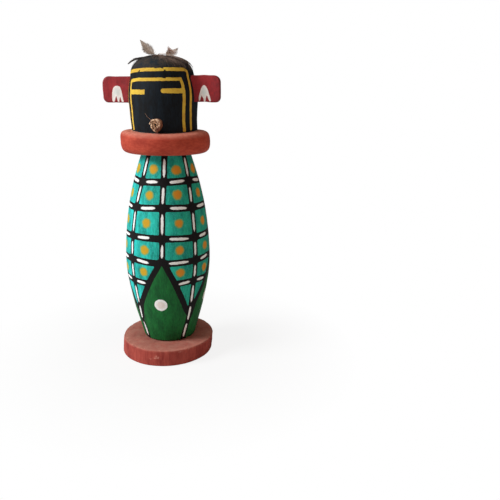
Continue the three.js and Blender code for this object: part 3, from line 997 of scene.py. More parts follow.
def paint_body(tree, tone):
    """Turquoise and green grounds, then dots, lines, dashes and discs; painted shade darkens the turquoise
    on the right.
    """
    blotches = spread(tree, tone, 0.36, 0.62)
    right = shares_of(tree, object_place(tree))["X"]
    # painted shade: the turquoise is painted darker and greener towards the right
    turquoise = mix(tree, spread(tree, right, -PAINTED_SHADE_TO, PAINTED_SHADE_TO), TURQUOISE, TURQUOISE_PAINTED_SHADE)
    ground = mix(tree, blotches, TURQUOISE_DEEP, turquoise)
    specks = spread(tree, noise(tree, object_place(tree), 1700.0, 3.0), 0.54, 0.66)
    ground = mix(tree, times(tree, specks, 0.3), ground, TURQUOISE_SPECK)
    green = mix(tree, blotches, GREEN_DEEP, GREEN)
    yellow = mix(tree, spread(tree, right, -ORANGER_TO, ORANGER_TO), DOT_YELLOW, DOT_ORANGE)
    dot, disc = attribute(tree, "dot"), attribute(tree, "disc")
    colour = coat(tree, ground, green, attribute(tree, "petal"), 0.2, 0.1)
    colour = coat(tree, colour, DOT_EDGE, minus(tree, dot, 0.35), 1.1, 0.6)
    colour = coat(tree, colour, yellow, plus(tree, dot, 0.12), 1.1, 0.65)
    colour = coat(tree, colour, INK, attribute(tree, "ink"), 0.35, 0.08)
    colour = coat(tree, colour, WHITE, attribute(tree, "dash"), 0.35, 0.1)
    colour = coat(tree, colour, WHITE, minus(tree, disc, DISC_RADIUS), 0.35, 0.1)
    colour = coat(tree, colour, PINK, minus(tree, disc, DISC_BLUSH), 1.2, 0.6)
    return coat(tree, colour, MIDDLE_GREY, minus(tree, disc, DISC_DOT), 0.2, 0.15)


def paint_ruff(tree, under, tone):
    terracotta = mix(tree, spread(tree, tone, 0.36, 0.64), TERRACOTTA_DEEP, TERRACOTTA)
    # dust and a painted highlight: the ruff's upward faces are painted lighter
    facing_up = placed(tree, DUST_AND_HIGHLIGHT, {"Amount": 0.85, "Patches": 420.0})[0]
    terracotta = mix(tree, facing_up, terracotta, TERRACOTTA_DUST_AND_HIGHLIGHT)
    return coat(tree, under, terracotta, times(tree, attribute(tree, "ruff"), -1.0), 0.2, 0.06)


def paint_mask(tree, grain, tone, above):
    """Black below and greyer on the dome, under the yellow lines."""
    mask, dome = mix(tree, grain, MASK_DEEP, MASK_BLACK), mix(tree, grain, MASK_BLACK, DOME_GREY)
    black = mix(tree, spread(tree, above, GREY_FROM, GREY_TO), mask, dome)
    yellow = mix(tree, spread(tree, tone, 0.3, 0.6), LINE_OCHRE, LINE_YELLOW)
    return coat(tree, black, yellow, attribute(tree, "mask_line"), 0.4, 0.09)


def paint_figure(tree, shader):
    upward = brushed(tree, (1, 1, 0.2), 1700.0)
    tone = brushed(tree, (0.6, 0.6, 1.2), 900.0)["Tone"]
    above = attribute(tree, "above")
    ruff_off = calc(tree, "LESS_THAN", attribute(tree, "ruff"), 0.0)
    on_mask = times(tree, calc(tree, "GREATER_THAN", above, -0.01), ruff_off)
    below = paint_ruff(tree, paint_body(tree, upward["Tone"]), tone)
    mask = paint_mask(tree, spread(tree, upward["Tone"], 0.4, 0.66), tone, above)
    wire(tree, shader, mix(tree, on_mask, below, mask), upward["Height"], 0.9, 0.2 * MM)
    tree.links.new(spread(tree, upward["Tone"], 0.0, 1.0, 0.6, 0.85), shader.inputs["Roughness"])


paint_figure(paint_tree, paint_shader)
declare(figure, "figure")
print(len(paint_tree.nodes), "nodes of paint on the figure")

# %% [markdown]
# The disc was sawn and trimmed by hand, so its side shows fine upright saw lines and shallow flats, and
# its rim is knocked about. It is a loft of rings: each ring is an oval, shifted a little with its height
# as the sides lean, and dented inward by seeded waves, never outward, so it stays within its size.

# %% Base
BASE_RADIUS = 28.1
BASE_OVAL = (BASE_RADIUS - 0.4, BASE_RADIUS + 0.4)
BASE_EDGE = 0.9
BASE_TOP_SHIFT = np.array((-0.15, -0.4))
BASE_FOOT_SHIFT = np.array((-1.1, 0.1))
BASE_AROUND = 400
FLATS = ((3, 5, 8, 13), 0.28, 3)
SAW_MARKS = ((97, 131, 163, 119, 71), 0.03, 5)
KNOCKS = ((11, 17, 29, 41), 0.5, 8)
KNOCK_REACH = 1.1
KNOCK_IN = 0.5
KNOCK_DOWN = 0.3
# how far down from the top the rim's wear and painted highlight reach
WORN_AND_HIGHLIGHT_REACH = 0.9
TOP_HOLLOW = 0.12
SIDE_GROWS = (0.86, 0.1)


def waves(angles, counts, depth, seed):
    """A seamless uneven wave between 0 and depth round a circle."""
    source = np.random.default_rng(seed)
    total = 0
    for count in counts:
        total = total + np.sin(count * angles + source.uniform(0, 6.28)) * source.uniform(0.5, 1)
    return depth * (total - total.min()) / (total.max() - total.min())


def base_rows():
    """Stations (share of the radius, level) from the middle of the underside to the middle of the top."""
    rounding = BASE_EDGE / BASE_RADIUS
    rows = [(share, 0.0) for share in (0.15, 0.4, 0.7, 0.9)]
    for a in np.linspace(0, QUARTER, 7):
        rows.append((1 - (1 - math.sin(a)) * rounding, BASE_EDGE * (1 - math.cos(a))))
    rows += [(1, z) for z in np.linspace(BASE_EDGE, BASE_TOP - BASE_EDGE, 14)[1:-1]]
    for a in np.linspace(0, QUARTER, 9):
        rows.append((1 - (1 - math.cos(a)) * rounding, BASE_TOP - BASE_EDGE * (1 - math.sin(a))))
    return rows + [(share, BASE_TOP) for share in np.linspace(0.955, 0.02, 44)]


def base_rings():
    """The disc's rings in metres, and from 0 to 1 how near each one is to the rim, which is painted lighter
    as wear and as a painted highlight.
    """
    angles = np.linspace(0, 2 * math.pi, BASE_AROUND, endpoint=False)
    outwards = np.column_stack([np.cos(angles), np.sin(angles)])
    flats, saw, knocks = (waves(angles, *kind) for kind in (FLATS, SAW_MARKS, KNOCKS))
    rings, rims = [], []
    for share, z in base_rows():
        side = ramp(share, *SIDE_GROWS)
        top_edge = math.exp(-((z - BASE_TOP) / KNOCK_REACH) ** 2) * side
        dent = (flats * (0.6 + 0.4 * math.sin(z)) + saw + knocks * top_edge * KNOCK_IN) * side
        shift = BASE_FOOT_SHIFT + (BASE_TOP_SHIFT - BASE_FOOT_SHIFT) * z / BASE_TOP
        plan = outwards * (np.array(BASE_OVAL) * share - dent[:, None]) + shift
        hollow = TOP_HOLLOW * (1 - math.cos(9 * share)) * (z / BASE_TOP > 0.99)
        rings.append(np.column_stack([plan, z - hollow - knocks * top_edge * KNOCK_DOWN]) * MM)
        rims.append(side * math.exp(-((z - BASE_TOP) / WORN_AND_HIGHLIGHT_REACH) ** 2))
    return rings, rims


rings, rims = base_rings()
foot = np.array((*BASE_FOOT_SHIFT, 0)) * MM
top = np.array((*BASE_TOP_SHIFT, BASE_TOP)) * MM
base = mesh_object("painted_base", *loft(rings, foot, top))
write(base.data, "rim", np.concatenate([[0], np.repeat(rims, BASE_AROUND), [0]]))
print(len(base.data.polygons), "faces on the base")

# %% [markdown]
# Its side is marked in front: pale scratches where the red is rubbed off, and one dark crack. Each is a
# stroke of points, given as a turn in degrees and a height in millimetres.

# %% Scratches and the crack
SCRATCHES = (
    ((268, 6.6), (270, 6.8)), ((271.5, 6.9), (272.5, 6.2)), ((266.5, 5.7), (268, 5.3)),
    ((270, 5.4), (271.5, 5.2)), ((273.5, 5.6), (274.5, 5.0)), ((262, 4.5), (263.5, 4.8)),
    ((296, 8.9), (301, 9.2)),
)
CRACK = ((238, 9.9), (244, 9.2), (247, 7.8))
MARKED_DEPTH = 1.5


def to_strokes(piece, strokes):
    """Millimetres from each point of the disc's side to the nearest of some strokes."""
    x, y, z = places_of(piece).T
    around = np.degrees(np.arctan2(y, x)) % 360
    arc = BASE_RADIUS * DEGREE
    best = np.full(len(x), SHOWN)
    for stroke in strokes:
        for (a0, z0), (a1, z1) in zip(stroke, stroke[1:]):
            best = np.minimum(best, to_segment((a0 - around) * arc, z0 - z, (a1 - a0) * arc, z1 - z0))
    return best + SHOWN * (np.hypot(x, y) < BASE_RADIUS - MARKED_DEPTH)


scratch, crack = to_strokes(base, SCRATCHES), to_strokes(base, [CRACK])
write(base.data, "scratch", scratch)
write(base.data, "crack", crack)
print("nearest points: scratch", round(scratch.min(), 2), "mm, crack", round(crack.min(), 2), "mm")

# %% [markdown]
# The disc's red is thin and rubbed: the wood's pale dust lies on the top, the rim is painted lighter, as
# wear and as a painted highlight along its edge, and the side is streaked by every stroke of the saw.

# %% Paint of the base
BASE_RED = srgb(178, 74, 60)
BASE_RED_DARK = srgb(136, 38, 28)
BASE_DUST = srgb(192, 134, 118)
# the pale red of the scratches, and of the rim's wear and painted highlight
BASE_WORN_AND_HIGHLIGHT = srgb(214, 142, 124)
BASE_SHADE = srgb(84, 24, 20)


def paint_base(tree, shader):
    saw = brushed(tree, (1, 1, 0.16), 1000.0)
    colour = mix(tree, spread(tree, saw["Tone"], 0.36, 0.64), BASE_RED_DARK, BASE_RED)
    facing_up = placed(tree, DUST_AND_HIGHLIGHT, {"Amount": 1.0, "Patches": 190.0})[0]
    colour = mix(tree, times(tree, facing_up, 0.75), colour, BASE_DUST)
    rim_specks = placed(tree, SPECKS, {"Scale": 420.0, "Amount": 1.0})[0]
    # the rim is painted lighter: partly wear, partly a painted highlight along its edge
    rim = times(tree, attribute(tree, "rim"), plus(tree, 0.25, rim_specks))
    colour = mix(tree, times(tree, rim, 0.9), colour, BASE_WORN_AND_HIGHLIGHT)
    colour = coat(tree, colour, BASE_WORN_AND_HIGHLIGHT, attribute(tree, "scratch"), 2.4, 0.7)
    colour = coat(tree, colour, BASE_SHADE, minus(tree, attribute(tree, "crack"), 0.1), 0.5, 0.2)
    wire(tree, shader, colour, saw["Height"], 0.7, 0.15 * MM)


dressed(base, paint_base, "painted_base", "base")

# %% [markdown]
# Each ear is a flat tab of wood, glued into the side of the mask, with softened edges and one corner
# rounder than the others. The rings of the loft grow from the middle of the front face to the outline,
# over the edge, and close on the middle of the back. The white mark is a hand-drawn outline, so each
# point of the face stores its distance to that outline, as the body does with its strokes.

# %% Outlines of the ears
EAR_EDGE = 0.7
EAR_AROUND = 176
EAR_ROWS = 62
EAR_DISH = 0.25
EAR_UNEVEN = 0.3
CORNER_STEPS = 24
EARS = {
    "ear_left": dict(corners=(1.6, 1.6, 3.9, 3.0), mark=(
        (-24.6, 158.6), (-23.2, 158.1), (-22.5, 156.6), (-22.1, 154), (-21.6, 151.6), (-21.4, 150),
        (-22.4, 149.9), (-22.8, 151.5), (-23.3, 152.8), (-23.7, 151.5), (-23.8, 150), (-24.7, 150),
        (-24.9, 151.5), (-25.5, 153), (-26.2, 151.8), (-26.5, 150.1), (-27.6, 150.2), (-27.9, 152.5),
        (-27.8, 155), (-27, 157.3), (-25.9, 158.4))),
    "ear_right": dict(corners=(2.9, 3.8, 1.6, 1.6), mark=(
        (24.6, 159.6), (25.5, 158.9), (26.3, 157.7), (26.9, 156), (27.4, 154.2), (28.3, 151.4),
        (27.7, 150.9), (26.9, 152.2), (26, 154.1), (25.5, 152.6), (25.1, 150.7), (24.5, 150.9),
        (24, 152.6), (23.1, 154.2), (22.6, 152.9), (22.3, 151.4), (21.6, 151.2), (21.5, 153),
        (22, 155.5), (22.9, 158), (23.8, 159.2))),
}


def tab_outline(low, high, corners):
    """Even points (x, z) round a tab, from its lower right corner, each corner with its own radius."""
    centres = ((high[0], low[2], -90), (high[0], high[2], 0), (low[0], high[2], 90), (low[0], low[2], 180))
    points = []
    for (x, z, start), radius in zip(centres, corners):
        cx = x - radius if x == high[0] else x + radius
        cz = z - radius if z == high[2] else z + radius
        for angle in np.radians(np.linspace(start, start + 90, CORNER_STEPS)):
            points.append((cx + radius * math.cos(angle), cz + radius * math.sin(angle)))
    loop = np.array(points + points[:1])
    lengths = np.concatenate([[0], np.cumsum(np.hypot(*np.diff(loop, axis=0).T))])
    even = np.linspace(0, lengths[-1], EAR_AROUND, endpoint=False)
    return np.column_stack([np.interp(even, lengths, share) for share in loop.T])


def to_outline(x, z, outline):
    """Signed millimetres from points to a closed outline, negative inside."""
    best = np.full(len(x), FAR)
    inside = np.zeros(len(x), bool)
    outline = np.array(outline)
    for a, b in zip(outline, np.roll(outline, -1, axis=0)):
        step = b - a
        best = np.minimum(best, to_segment(a[0] - x, a[1] - z, *step))
        crosses = (a[1] > z) != (b[1] > z)
        with np.errstate(divide="ignore", invalid="ignore"):
            at = a[0] + (z - a[1]) * step[0] / step[1]
        inside ^= crosses & (x < at)
    return np.where(inside, -best, best)


print("points in the marks:", {name: len(shape["mark"]) for name, shape in EARS.items()})

# %% [markdown]
# The outline gives a tab its rings. A cut tab is a little hollow in front and uneven at its edge, so the
# front is dished and each ring is drawn inward by a wave.

# %% Ears
def tab_rows(rounding, thick):
    """Stations (share of the outline, depth) from the middle of the front to the middle of the back."""
    rows = [(share * (1 - rounding), 0) for share in np.linspace(0.02, 1, EAR_ROWS)]
    edge = []
    for a in np.linspace(0, QUARTER, 7)[1:]:
        edge.append((1 - rounding * (1 - math.sin(a)), EAR_EDGE * (1 - math.cos(a))))
    back = [(share, thick - depth) for share, depth in reversed(edge)]
    return rows + edge + back + [(share, thick) for share in (0.8, 0.5, 0.2, 0.03)]


def make_ear(name, corners, mark):
    low, high = (np.array(corner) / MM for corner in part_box(name))
    outline = tab_outline(low, high, corners)
    middle = outline.mean(axis=0)
    arms = outline - middle
    uneven = waves(np.arctan2(*arms.T), (2, 3, 5, 7), EAR_UNEVEN, len(name)) / np.hypot(*arms.T)
    rings = []
    for share, depth in tab_rows(EAR_EDGE / np.abs(arms).max(axis=0)[1], high[1] - low[1]):
        x, z = (middle + arms * share).T
        dish = EAR_DISH * np.sin(x * 0.5) * np.cos(z * 0.45) * (1 - share) * (depth < 0.1)
        x, z = (middle + arms * (share * (1 - uneven * share))[:, None]).T
        rings.append(np.column_stack([x, low[1] + depth + np.abs(dish), z])[::-1] * MM)
    front, back = (np.array((middle[0], y, middle[1])) * MM for y in (low[1], high[1]))
    ear = mesh_object("painted_" + name, *loft(rings, front, back))
    x, y, z = places_of(ear).T
    write_distance(ear.data, "mark", np.where(y < low[1] + EAR_EDGE, to_outline(x, z, mark), SHOWN))
    write_distance(ear.data, "edge", to_outline(x, z, outline))
    return ear


ears = {name: make_ear(name, **shape) for name, shape in EARS.items()}
print({name: len(ear.data.polygons) for name, ear in ears.items()})

# %% [markdown]
# The ears' red is deeper and cooler than the ruff's, darker at the edges where it gathered, with pale
# slanting streaks from a dry brush. The white mark is thin in its middle, where the red shows through.

# %% Paint of the ears
EAR_RED = srgb(168, 28, 34)
EAR_RED_DARK = srgb(122, 16, 26)
EAR_STREAK = srgb(196, 88, 84)
MARK_WHITE = srgb(252, 242, 236)
MARK_THIN = srgb(232, 234, 228)


def paint_ear(tree, shader):
    slant = brushed(tree, (1.2, 0.5, 0.7), 520.0)
    colour = mix(tree, spread(tree, slant["Tone"], 0.36, 0.62), EAR_RED_DARK, EAR_RED)
    near_edge = spread(tree, attribute(tree, "edge"), -1.2, 0.0)
    colour = mix(tree, times(tree, near_edge, 0.45), colour, EAR_RED_DARK)
    streaks = placed(tree, SPECKS, {"Scale": 260.0, "Amount": 0.7})[0]
    colour = mix(tree, times(tree, streaks, 0.4), colour, EAR_STREAK)
    mark = attribute(tree, "mark")
    white = mix(tree, spread(tree, mark, -1.6, -0.3), MARK_THIN, MARK_WHITE)
    colour = coat(tree, colour, white, mark, 0.35, 0.12, Grain=1200.0)
    wire(tree, shader, colour, slant["Height"], 0.5, 0.12 * MM)


for name, ear in ears.items():
    dressed(ear, paint_ear, "painted_ear", name, Roughness=0.7)

# %% [markdown]
# The snout is a strip of dry husk, rolled up and pushed into a hole. A roll is a spiral in section, so a
# wall of husk is drawn along a spiral of nearly three turns, out along one side and back along the
# other, and carried forward through a few uneven sections. Its lower half sags and its end is torn.

# %% Wall of the snout
HUSK_TURNS = 2.8
HUSK_WALL = 0.78
HUSK_CORE = 0.35
HUSK_SAG = 0.42
HUSK_NARROWING = 0.1
HUSK_POINTS = 220
HUSK_SECTIONS = 15
HUSK_OFF_CENTRE = (0.3, -0.2)
HUSK_START = 4.2
HUSK_TWIST = 0.15
HUSK_TORN = 1.5
HUSK_CRUMPLE = 0.1
HUSK_WAIST = 0.94
HUSK_BELLY = 0.09
HUSK_GAP = 0.2
HUSK_TIGHTER = 0.85
HUSK_RING = 2 * HUSK_POINTS


def husk_wall(low, high):
    """Points of the wound leaf, section by section from the mask forward, and how deep each one lies."""
    middle = (low + high) / 2
    radius = (high[2] - low[2]) / 2
    source = np.random.default_rng(12)
    around = np.linspace(0, HUSK_TURNS * 2 * math.pi, HUSK_POINTS)
    wound = around / around[-1]

    def uneven(counts):
        return sum(np.sin(around * count + source.uniform(0, 6)) for count in counts)

    crumple = HUSK_CRUMPLE * uneven((1.6, 3.0, 5.3, 8.7)) * np.minimum(1, 1.6 - wound)
    torn = HUSK_TORN * (0.5 + 0.125 * uneven((1.3, 3.1, 7.0, 13.0)) + 0.5 * (1 - wound))
    inner = (1 - wound) ** 1.5
    points, depth = [], []
    for forward in np.linspace(0, 1, HUSK_SECTIONS):
        largest = (radius - HUSK_WALL) * (HUSK_WAIST + HUSK_BELLY * math.sin(forward * 2.6))
        spiral = HUSK_CORE + (largest - HUSK_CORE - HUSK_GAP) * wound ** HUSK_TIGHTER + crumple
        angle = around + HUSK_START + HUSK_TWIST * forward
        y = high[1] + (low[1] - high[1]) * forward + forward ** 5 * torn
        for reach, order in ((spiral + HUSK_WALL / 2, 1), (spiral - HUSK_WALL / 2, -1)):
            rise = reach * np.sin(angle) + HUSK_OFF_CENTRE[1] * inner
            aside = reach * np.cos(angle) * (1 + HUSK_NARROWING * rise / radius) + HUSK_OFF_CENTRE[0] * inner
            sagged = rise * (1 + HUSK_SAG * (rise < 0))
            points += list(np.column_stack([middle[0] + aside, y, middle[2] + sagged])[::order] * MM)
        depth += [min(1.15 - forward, 1)] * HUSK_RING
    return points, depth


def wall_faces():
    """The skin of the wall, and at both ends a strip from its outer to its inner side."""
    faces = []
    for start in range(0, (HUSK_SECTIONS - 1) * HUSK_RING, HUSK_RING):
        for i in range(HUSK_RING):
            a, b = start + i, start + (i + 1) % HUSK_RING
            faces.append((a, b, b + HUSK_RING, a + HUSK_RING))
    for start, order in ((0, 1), ((HUSK_SECTIONS - 1) * HUSK_RING, -1)):
        for i in range(HUSK_POINTS - 1):
            a, d = start + i, start + HUSK_RING - 1 - i
            faces.append((a, d, d - 1, a + 1)[::order])
    return faces


snout_box = [np.array(corner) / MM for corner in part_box("snout")]
points, depth = husk_wall(*snout_box)
faces = wall_faces()
print(len(points), "points on the wall of the snout")

# %% [markdown]
# Some loose fibres stand out of the roll. Each is a thin tapering thread: rings of points along a path,
# closed by the same loft as the disc and the ears.

# %% Threads of the snout
THREAD_RADIUS = 0.12
THREAD_SIDES = 6
THREAD_DEPTH = 0.4
THREADS = (
    ((-1.4, -20.8, 141.2), (-2.5, -21.4, 142.3), (-3.3, -21.7, 143.2), (-4.0, -21.8, 144.4)),
    ((2.2, -21.5, 138.4), (2.8, -23.2, 138.0), (3.3, -23.45, 137.3)),
    ((1.6, -21.5, 139.2), (1.2, -23.2, 139.5), (0.8, -23.4, 139.0)),
)


def unit(vector):
    return np.array(vector, float) / np.linalg.norm(vector)


def thread(path):
    """Rings of a thin thread along a path in millimetres, ending in a point, and its two ends."""
    path = np.array(path, float)
    last = len(path) - 1
    turns = np.linspace(0, 2 * math.pi, THREAD_SIDES, endpoint=False)
    rings = []
    for i, point in enumerate(path):
        ahead = unit(path[min(i + 1, last)] - path[max(i - 1, 0)])
        side = unit(np.cross(ahead, (0.3, 0.2, 0.93)))
        up = np.cross(side, ahead)
        size = THREAD_RADIUS * (1 - 0.8 * i / last)
        rings.append([(point + size * (math.cos(a) * side + math.sin(a) * up)) * MM for a in turns])
    return rings, path[0] * MM, path[-1] * MM


def outward(piece):
    """Turn a closed mesh's faces outwards."""
    shape = bmesh.new()
    shape.from_mesh(piece.data)
    bmesh.ops.recalc_face_normals(shape, faces=shape.faces)
    shape.to_mesh(piece.data)
    shape.free()
    return piece


for path in THREADS:
    thread_points, thread_faces = loft(*thread(path), start=len(points))
    points += thread_points
    faces += thread_faces
    depth += [THREAD_DEPTH] * len(thread_points)
snout = outward(mesh_object("husk_snout", points, faces))
write(snout.data, "depth", depth)
print(len(THREADS), "threads, and", len(snout.data.polygons), "faces on the whole snout")

# %% [markdown]
# Dry husk is pale along its fibres and tan between them. Brown stains lie on it and cover its right
# side, and it darkens towards the mask, where less light gets in.

# %% Colour of the husk
HUSK_PALE = srgb(240, 204, 170)
HUSK_TAN = srgb(176, 120, 84)
HUSK_DARK = srgb(140, 88, 60)
HUSK_BROWN = srgb(104, 46, 26)
STAIN_EDGE = -91.5
STAIN_SOFT = 0.6
STAIN_SLANT = 0.7
STAIN_WANDER = 3.5


def paint_husk(tree, shader):
    fibres = brushed(tree, (1, 0.15, 1), 1500.0)
    colour = mix(tree, spread(tree, fibres["Tone"], 0.35, 0.6), HUSK_TAN, HUSK_PALE)
    stains = noise(tree, object_place(tree), 420.0)
    colour = mix(tree, times(tree, spread(tree, stains, 0.5, 0.62), 0.8), colour, HUSK_BROWN)
    place = shares_of(tree, object_place(tree))
    aside = minus(tree, place["X"], times(tree, place["Z"], STAIN_SLANT))
    aside = plus(tree, aside, times(tree, stains, STAIN_WANDER * MM))
    aside = spread(tree, aside, (STAIN_EDGE - STAIN_SOFT) * MM, (STAIN_EDGE + STAIN_SOFT) * MM)
    colour = mix(tree, times(tree, aside, 0.85), colour, HUSK_BROWN)
    colour = mix(tree, spread(tree, attribute(tree, "depth"), 0.22, 0.6), colour, HUSK_DARK)
    wire(tree, shader, colour, fibres["Height"], 0.8, 0.2 * MM)


dressed(snout, paint_husk, "husk", "snout")

# %% [markdown]
# A feather is a tapered shaft with barbs on both sides, each a flat hair that leans towards the tip. That
# is a rule, so a tree makes it: one barb is repeated along a line, as long as the vane is wide there. A
# seed shakes lengths and angles, and gives each barb its own shade.

# %% One row of barbs
BARB_THICK = 0.07 * MM
BARB_BEND = 0.25 * MM
BARB_ARCH = 0.15 * MM
LEAST_COSINE = 0.34
LEAN_SHAKE = 8.0
SHORTENED = (-0.3, 1.0)


def along_curve(tree):
    return socket(tree, "GeometryNodeSplineParameter")


def swept(tree, path, section, size):
    return socket(tree, "GeometryNodeCurveToMesh", {
        "Curve": path, "Profile Curve": section, "Scale": size, "Fill Caps": True})


def barb_mesh(tree, bend, width):
    """One barb of unit length along X, flat, tapering, bent sideways by a few tenths of a millimetre."""
    path = socket(tree, "GeometryNodeCurveQuadraticBezier", {
        "Resolution": 5, "Start": (0, 0, 0), "Middle": (0.5, bend * BARB_BEND, BARB_ARCH), "End": (1, 0, 0)})
    flat = socket(tree, "GeometryNodeCurvePrimitiveQuadrilateral", {"Width": BARB_THICK, "Height": width})
    return swept(tree, path, flat, spread(tree, along_curve(tree), 0.5, 1.0, 1.0, 0.3))


def barb_row(tree, given, points, sign, leans, reach, flutter, shade):
    """Barbs on one side of the shaft: their lean in degrees, reach across the vane and shade from 0 to 1."""
    def shake(low, high, seed):
        return node(tree, "FunctionNodeRandomValue", {
            "Min": low, "Max": high, "ID": socket(tree, "GeometryNodeInputIndex"),
            "Seed": plus(tree, given["Seed"], seed + 3 * sign)}, data_type="FLOAT").outputs["Value"]

    faces = given["Faces"]
    tangent = socket(tree, "GeometryNodeInputTangent")
    side = vectors(tree, "NORMALIZE", vectors(tree, "CROSS_PRODUCT", faces, tangent))
    lean = plus(tree, spread(tree, along_curve(tree), 0.0, 1.0, *leans), shake(-LEAN_SHAKE, LEAN_SHAKE, 20))
    lean = calc(tree, "RADIANS", lean)
    cosine = calc(tree, "COSINE", lean)
    forward = scaled(tree, tangent, calc(tree, "SINE", lean))
    direction = vectors(tree, "ADD", scaled(tree, side, times(tree, cosine, sign)), forward)
    direction = vectors(tree, "ADD", direction, scaled(tree, faces, shake(-flutter, flutter, 60)))
    rotation = socket(tree, "FunctionNodeAxesToRotation", {
        "Primary Axis": faces, "Secondary Axis": direction}, primary_axis="Z", secondary_axis="X")
    length = calc(tree, "DIVIDE", reach, calc(tree, "MAXIMUM", cosine, LEAST_COSINE))
    shorter = times(tree, given["Ragged"], shake(*SHORTENED, 40))
    length = times(tree, length, minus(tree, 1.0, shorter))
    row = socket(tree, "GeometryNodeInstanceOnPoints", {
        "Points": points, "Instance": barb_mesh(tree, sign, given["Barb width"]), "Rotation": rotation,
        "Scale": xyz(tree, X=length, Y=1.0, Z=1.0)})
    return store(tree, row, "shade", shake(*shade, 80), "INSTANCE")


print("a barb is", round(BARB_THICK / MM, 2), "mm thick")

# %% [markdown]
# The whole feather is its shaft and four rows of barbs. Two rows fill the vane, from the bare quill to
# the tip. Two sparse ones are the loose down near the quill.

# %% Tree that grows a feather
SHAFT_SIDES = 7
SHAFT_SHADE = 0.9
VANE_ARC = 3.05
VANE_SHADES = (0.0, 1.0)
VANE_FLUTTER = 0.12
TIP_FROM = 0.3
DOWN_FROM = 0.8
DOWN_PAST_QUILL = 0.25
DOWN_LEANS = (10.0, 45.0)
DOWN_REACH = 0.32
DOWN_SHADES = (0.8, 1.3)
DOWN_FLUTTER = 0.5


def stretch_of(tree, path, start, end, count):
    """Even points on one stretch of a curve, given as shares of its length."""
    part = socket(tree, "GeometryNodeTrimCurve", {"Curve": path, "Start": start, "End": end}, mode="FACTOR")
    return socket(tree, "GeometryNodeResampleCurve", {"Curve": part, "Count": count}, mode="COUNT")


def feather_tree():
    tree, given = geometry_tree("feather", [
        ("Faces", "Vector", (0, -1, 0)), ("Width", "Float", 4 * MM), ("Bare", "Float", 0.4),
        ("Barbs", "Int", 70), ("Barb width", "Float", 0.3 * MM), ("Forward", "Float", 55.0),
        ("Tip forward", "Float", 68.0), ("Tip width", "Float", 0.3), ("Fullest", "Float", 0.6),
        ("Fullness", "Float", 0.55), ("Ragged", "Float", 0.25), ("Down", "Int", 16),
        ("Shaft", "Float", 0.28 * MM), ("Seed", "Int", 1)])
    bare, width = given["Bare"], given["Width"]
    path = socket(tree, "GeometryNodeMeshToCurve", {"Mesh": given["Geometry"]})
    section = socket(tree, "GeometryNodeCurvePrimitiveCircle", {
        "Resolution": SHAFT_SIDES, "Radius": given["Shaft"]})
    shaft = swept(tree, path, section, spread(tree, along_curve(tree), 0.3, 1.0, 1.0, 0.3))
    here = along_curve(tree)
    full = calc(tree, "SINE", times(tree, calc(tree, "POWER", here, given["Fullest"]), VANE_ARC))
    full = calc(tree, "POWER", full, given["Fullness"])
    tip = times(tree, given["Tip width"], calc(tree, "GREATER_THAN", here, TIP_FROM))
    reach = times(tree, times(tree, calc(tree, "MAXIMUM", full, tip), width), 0.5)
    down_reach = times(tree, width, DOWN_REACH)
    vane = stretch_of(tree, path, bare, 1.0, given["Barbs"])
    down_from, down_to = times(tree, bare, DOWN_FROM), plus(tree, bare, DOWN_PAST_QUILL)
    down = stretch_of(tree, path, down_from, down_to, given["Down"])
    leans = (given["Forward"], given["Tip forward"])
    parts = [store(tree, shaft, "shade", SHAFT_SHADE)]
    for sign in (1, -1):
        parts.append(barb_row(tree, given, vane, sign, leans, reach, VANE_FLUTTER, VANE_SHADES))
    for sign in (1, -1):
        parts.append(barb_row(tree, given, down, sign, DOWN_LEANS, down_reach, DOWN_FLUTTER, DOWN_SHADES))
    joined = node(tree, "GeometryNodeJoinGeometry")
    for part in parts:
        tree.links.new(part, joined.inputs[0])
    return end_tree(tree, given, joined.outputs[0])


FEATHER = feather_tree()
print(len(FEATHER.nodes), "nodes grow a feather")

# %% [markdown]
# Six feathers share one hole in the crown. Each starts in the hole, comes straight up, and then bends
# over the dome through a few points, given as shares of the dome's radius and a lift above its surface.

# %% Where a feather runs
HOLE = (-0.13, -0.16)
QUILL_RING = 1.45
QUILL_DEPTH = 3
QUILL_RISE = 0.4
SPINE_STEPS = 12
LEAN_AT_CROWN = LEAN[-1][1]


def dome_height(share_x, share_y):
    reach = np.minimum(np.hypot(share_x, share_y), 1)
    return DOME_BOTTOM + DOME_RISE * (1 - reach ** DOME_SQUARENESS) ** (1 / DOME_SQUARENESS)


def over_crown(share_x, share_y, lift):
    """A point above the dome's surface, in millimetres."""
    x, y = DOME_RADIUS * share_x + LEAN_AT_CROWN, DOME_RADIUS * share_y
    return x, y, dome_height(share_x, share_y) + lift


def spine(turn, stops):
    """The line of a shaft in metres, from a turn round the hole through the stops."""
    x, y, z = over_crown(*HOLE, 0)
    x += QUILL_RING * math.cos(turn * DEGREE)
    y += QUILL_RING * math.sin(turn * DEGREE)
    quill = [(x, y, z - QUILL_DEPTH), (x, y, z + QUILL_RISE)]
    return np.array(through(quill + [over_crown(*stop) for stop in stops], SPINE_STEPS)) * MM


print("the hole is at", [round(float(share), 1) for share in over_crown(*HOLE, 0)])

# %% [markdown]
# Soft barbs don't stand on the wood, so those of the lying feathers are laid down onto the dome, and
# what hangs over its edge drops. A standing feather is kept under the height of its solid.

# %% How barbs lie
HUG_TO = 0.96
HANG = 1.5
LAID_LIFT = 0.12
WOOD_TO = 0.97
WOOD_DEPTH = 2.5
HOLE_REACH = 2
SOFT_FROM = (0.6, 0.85)
SOFT_INSIDE = 0.2
ROOM_ABOVE = 0.1


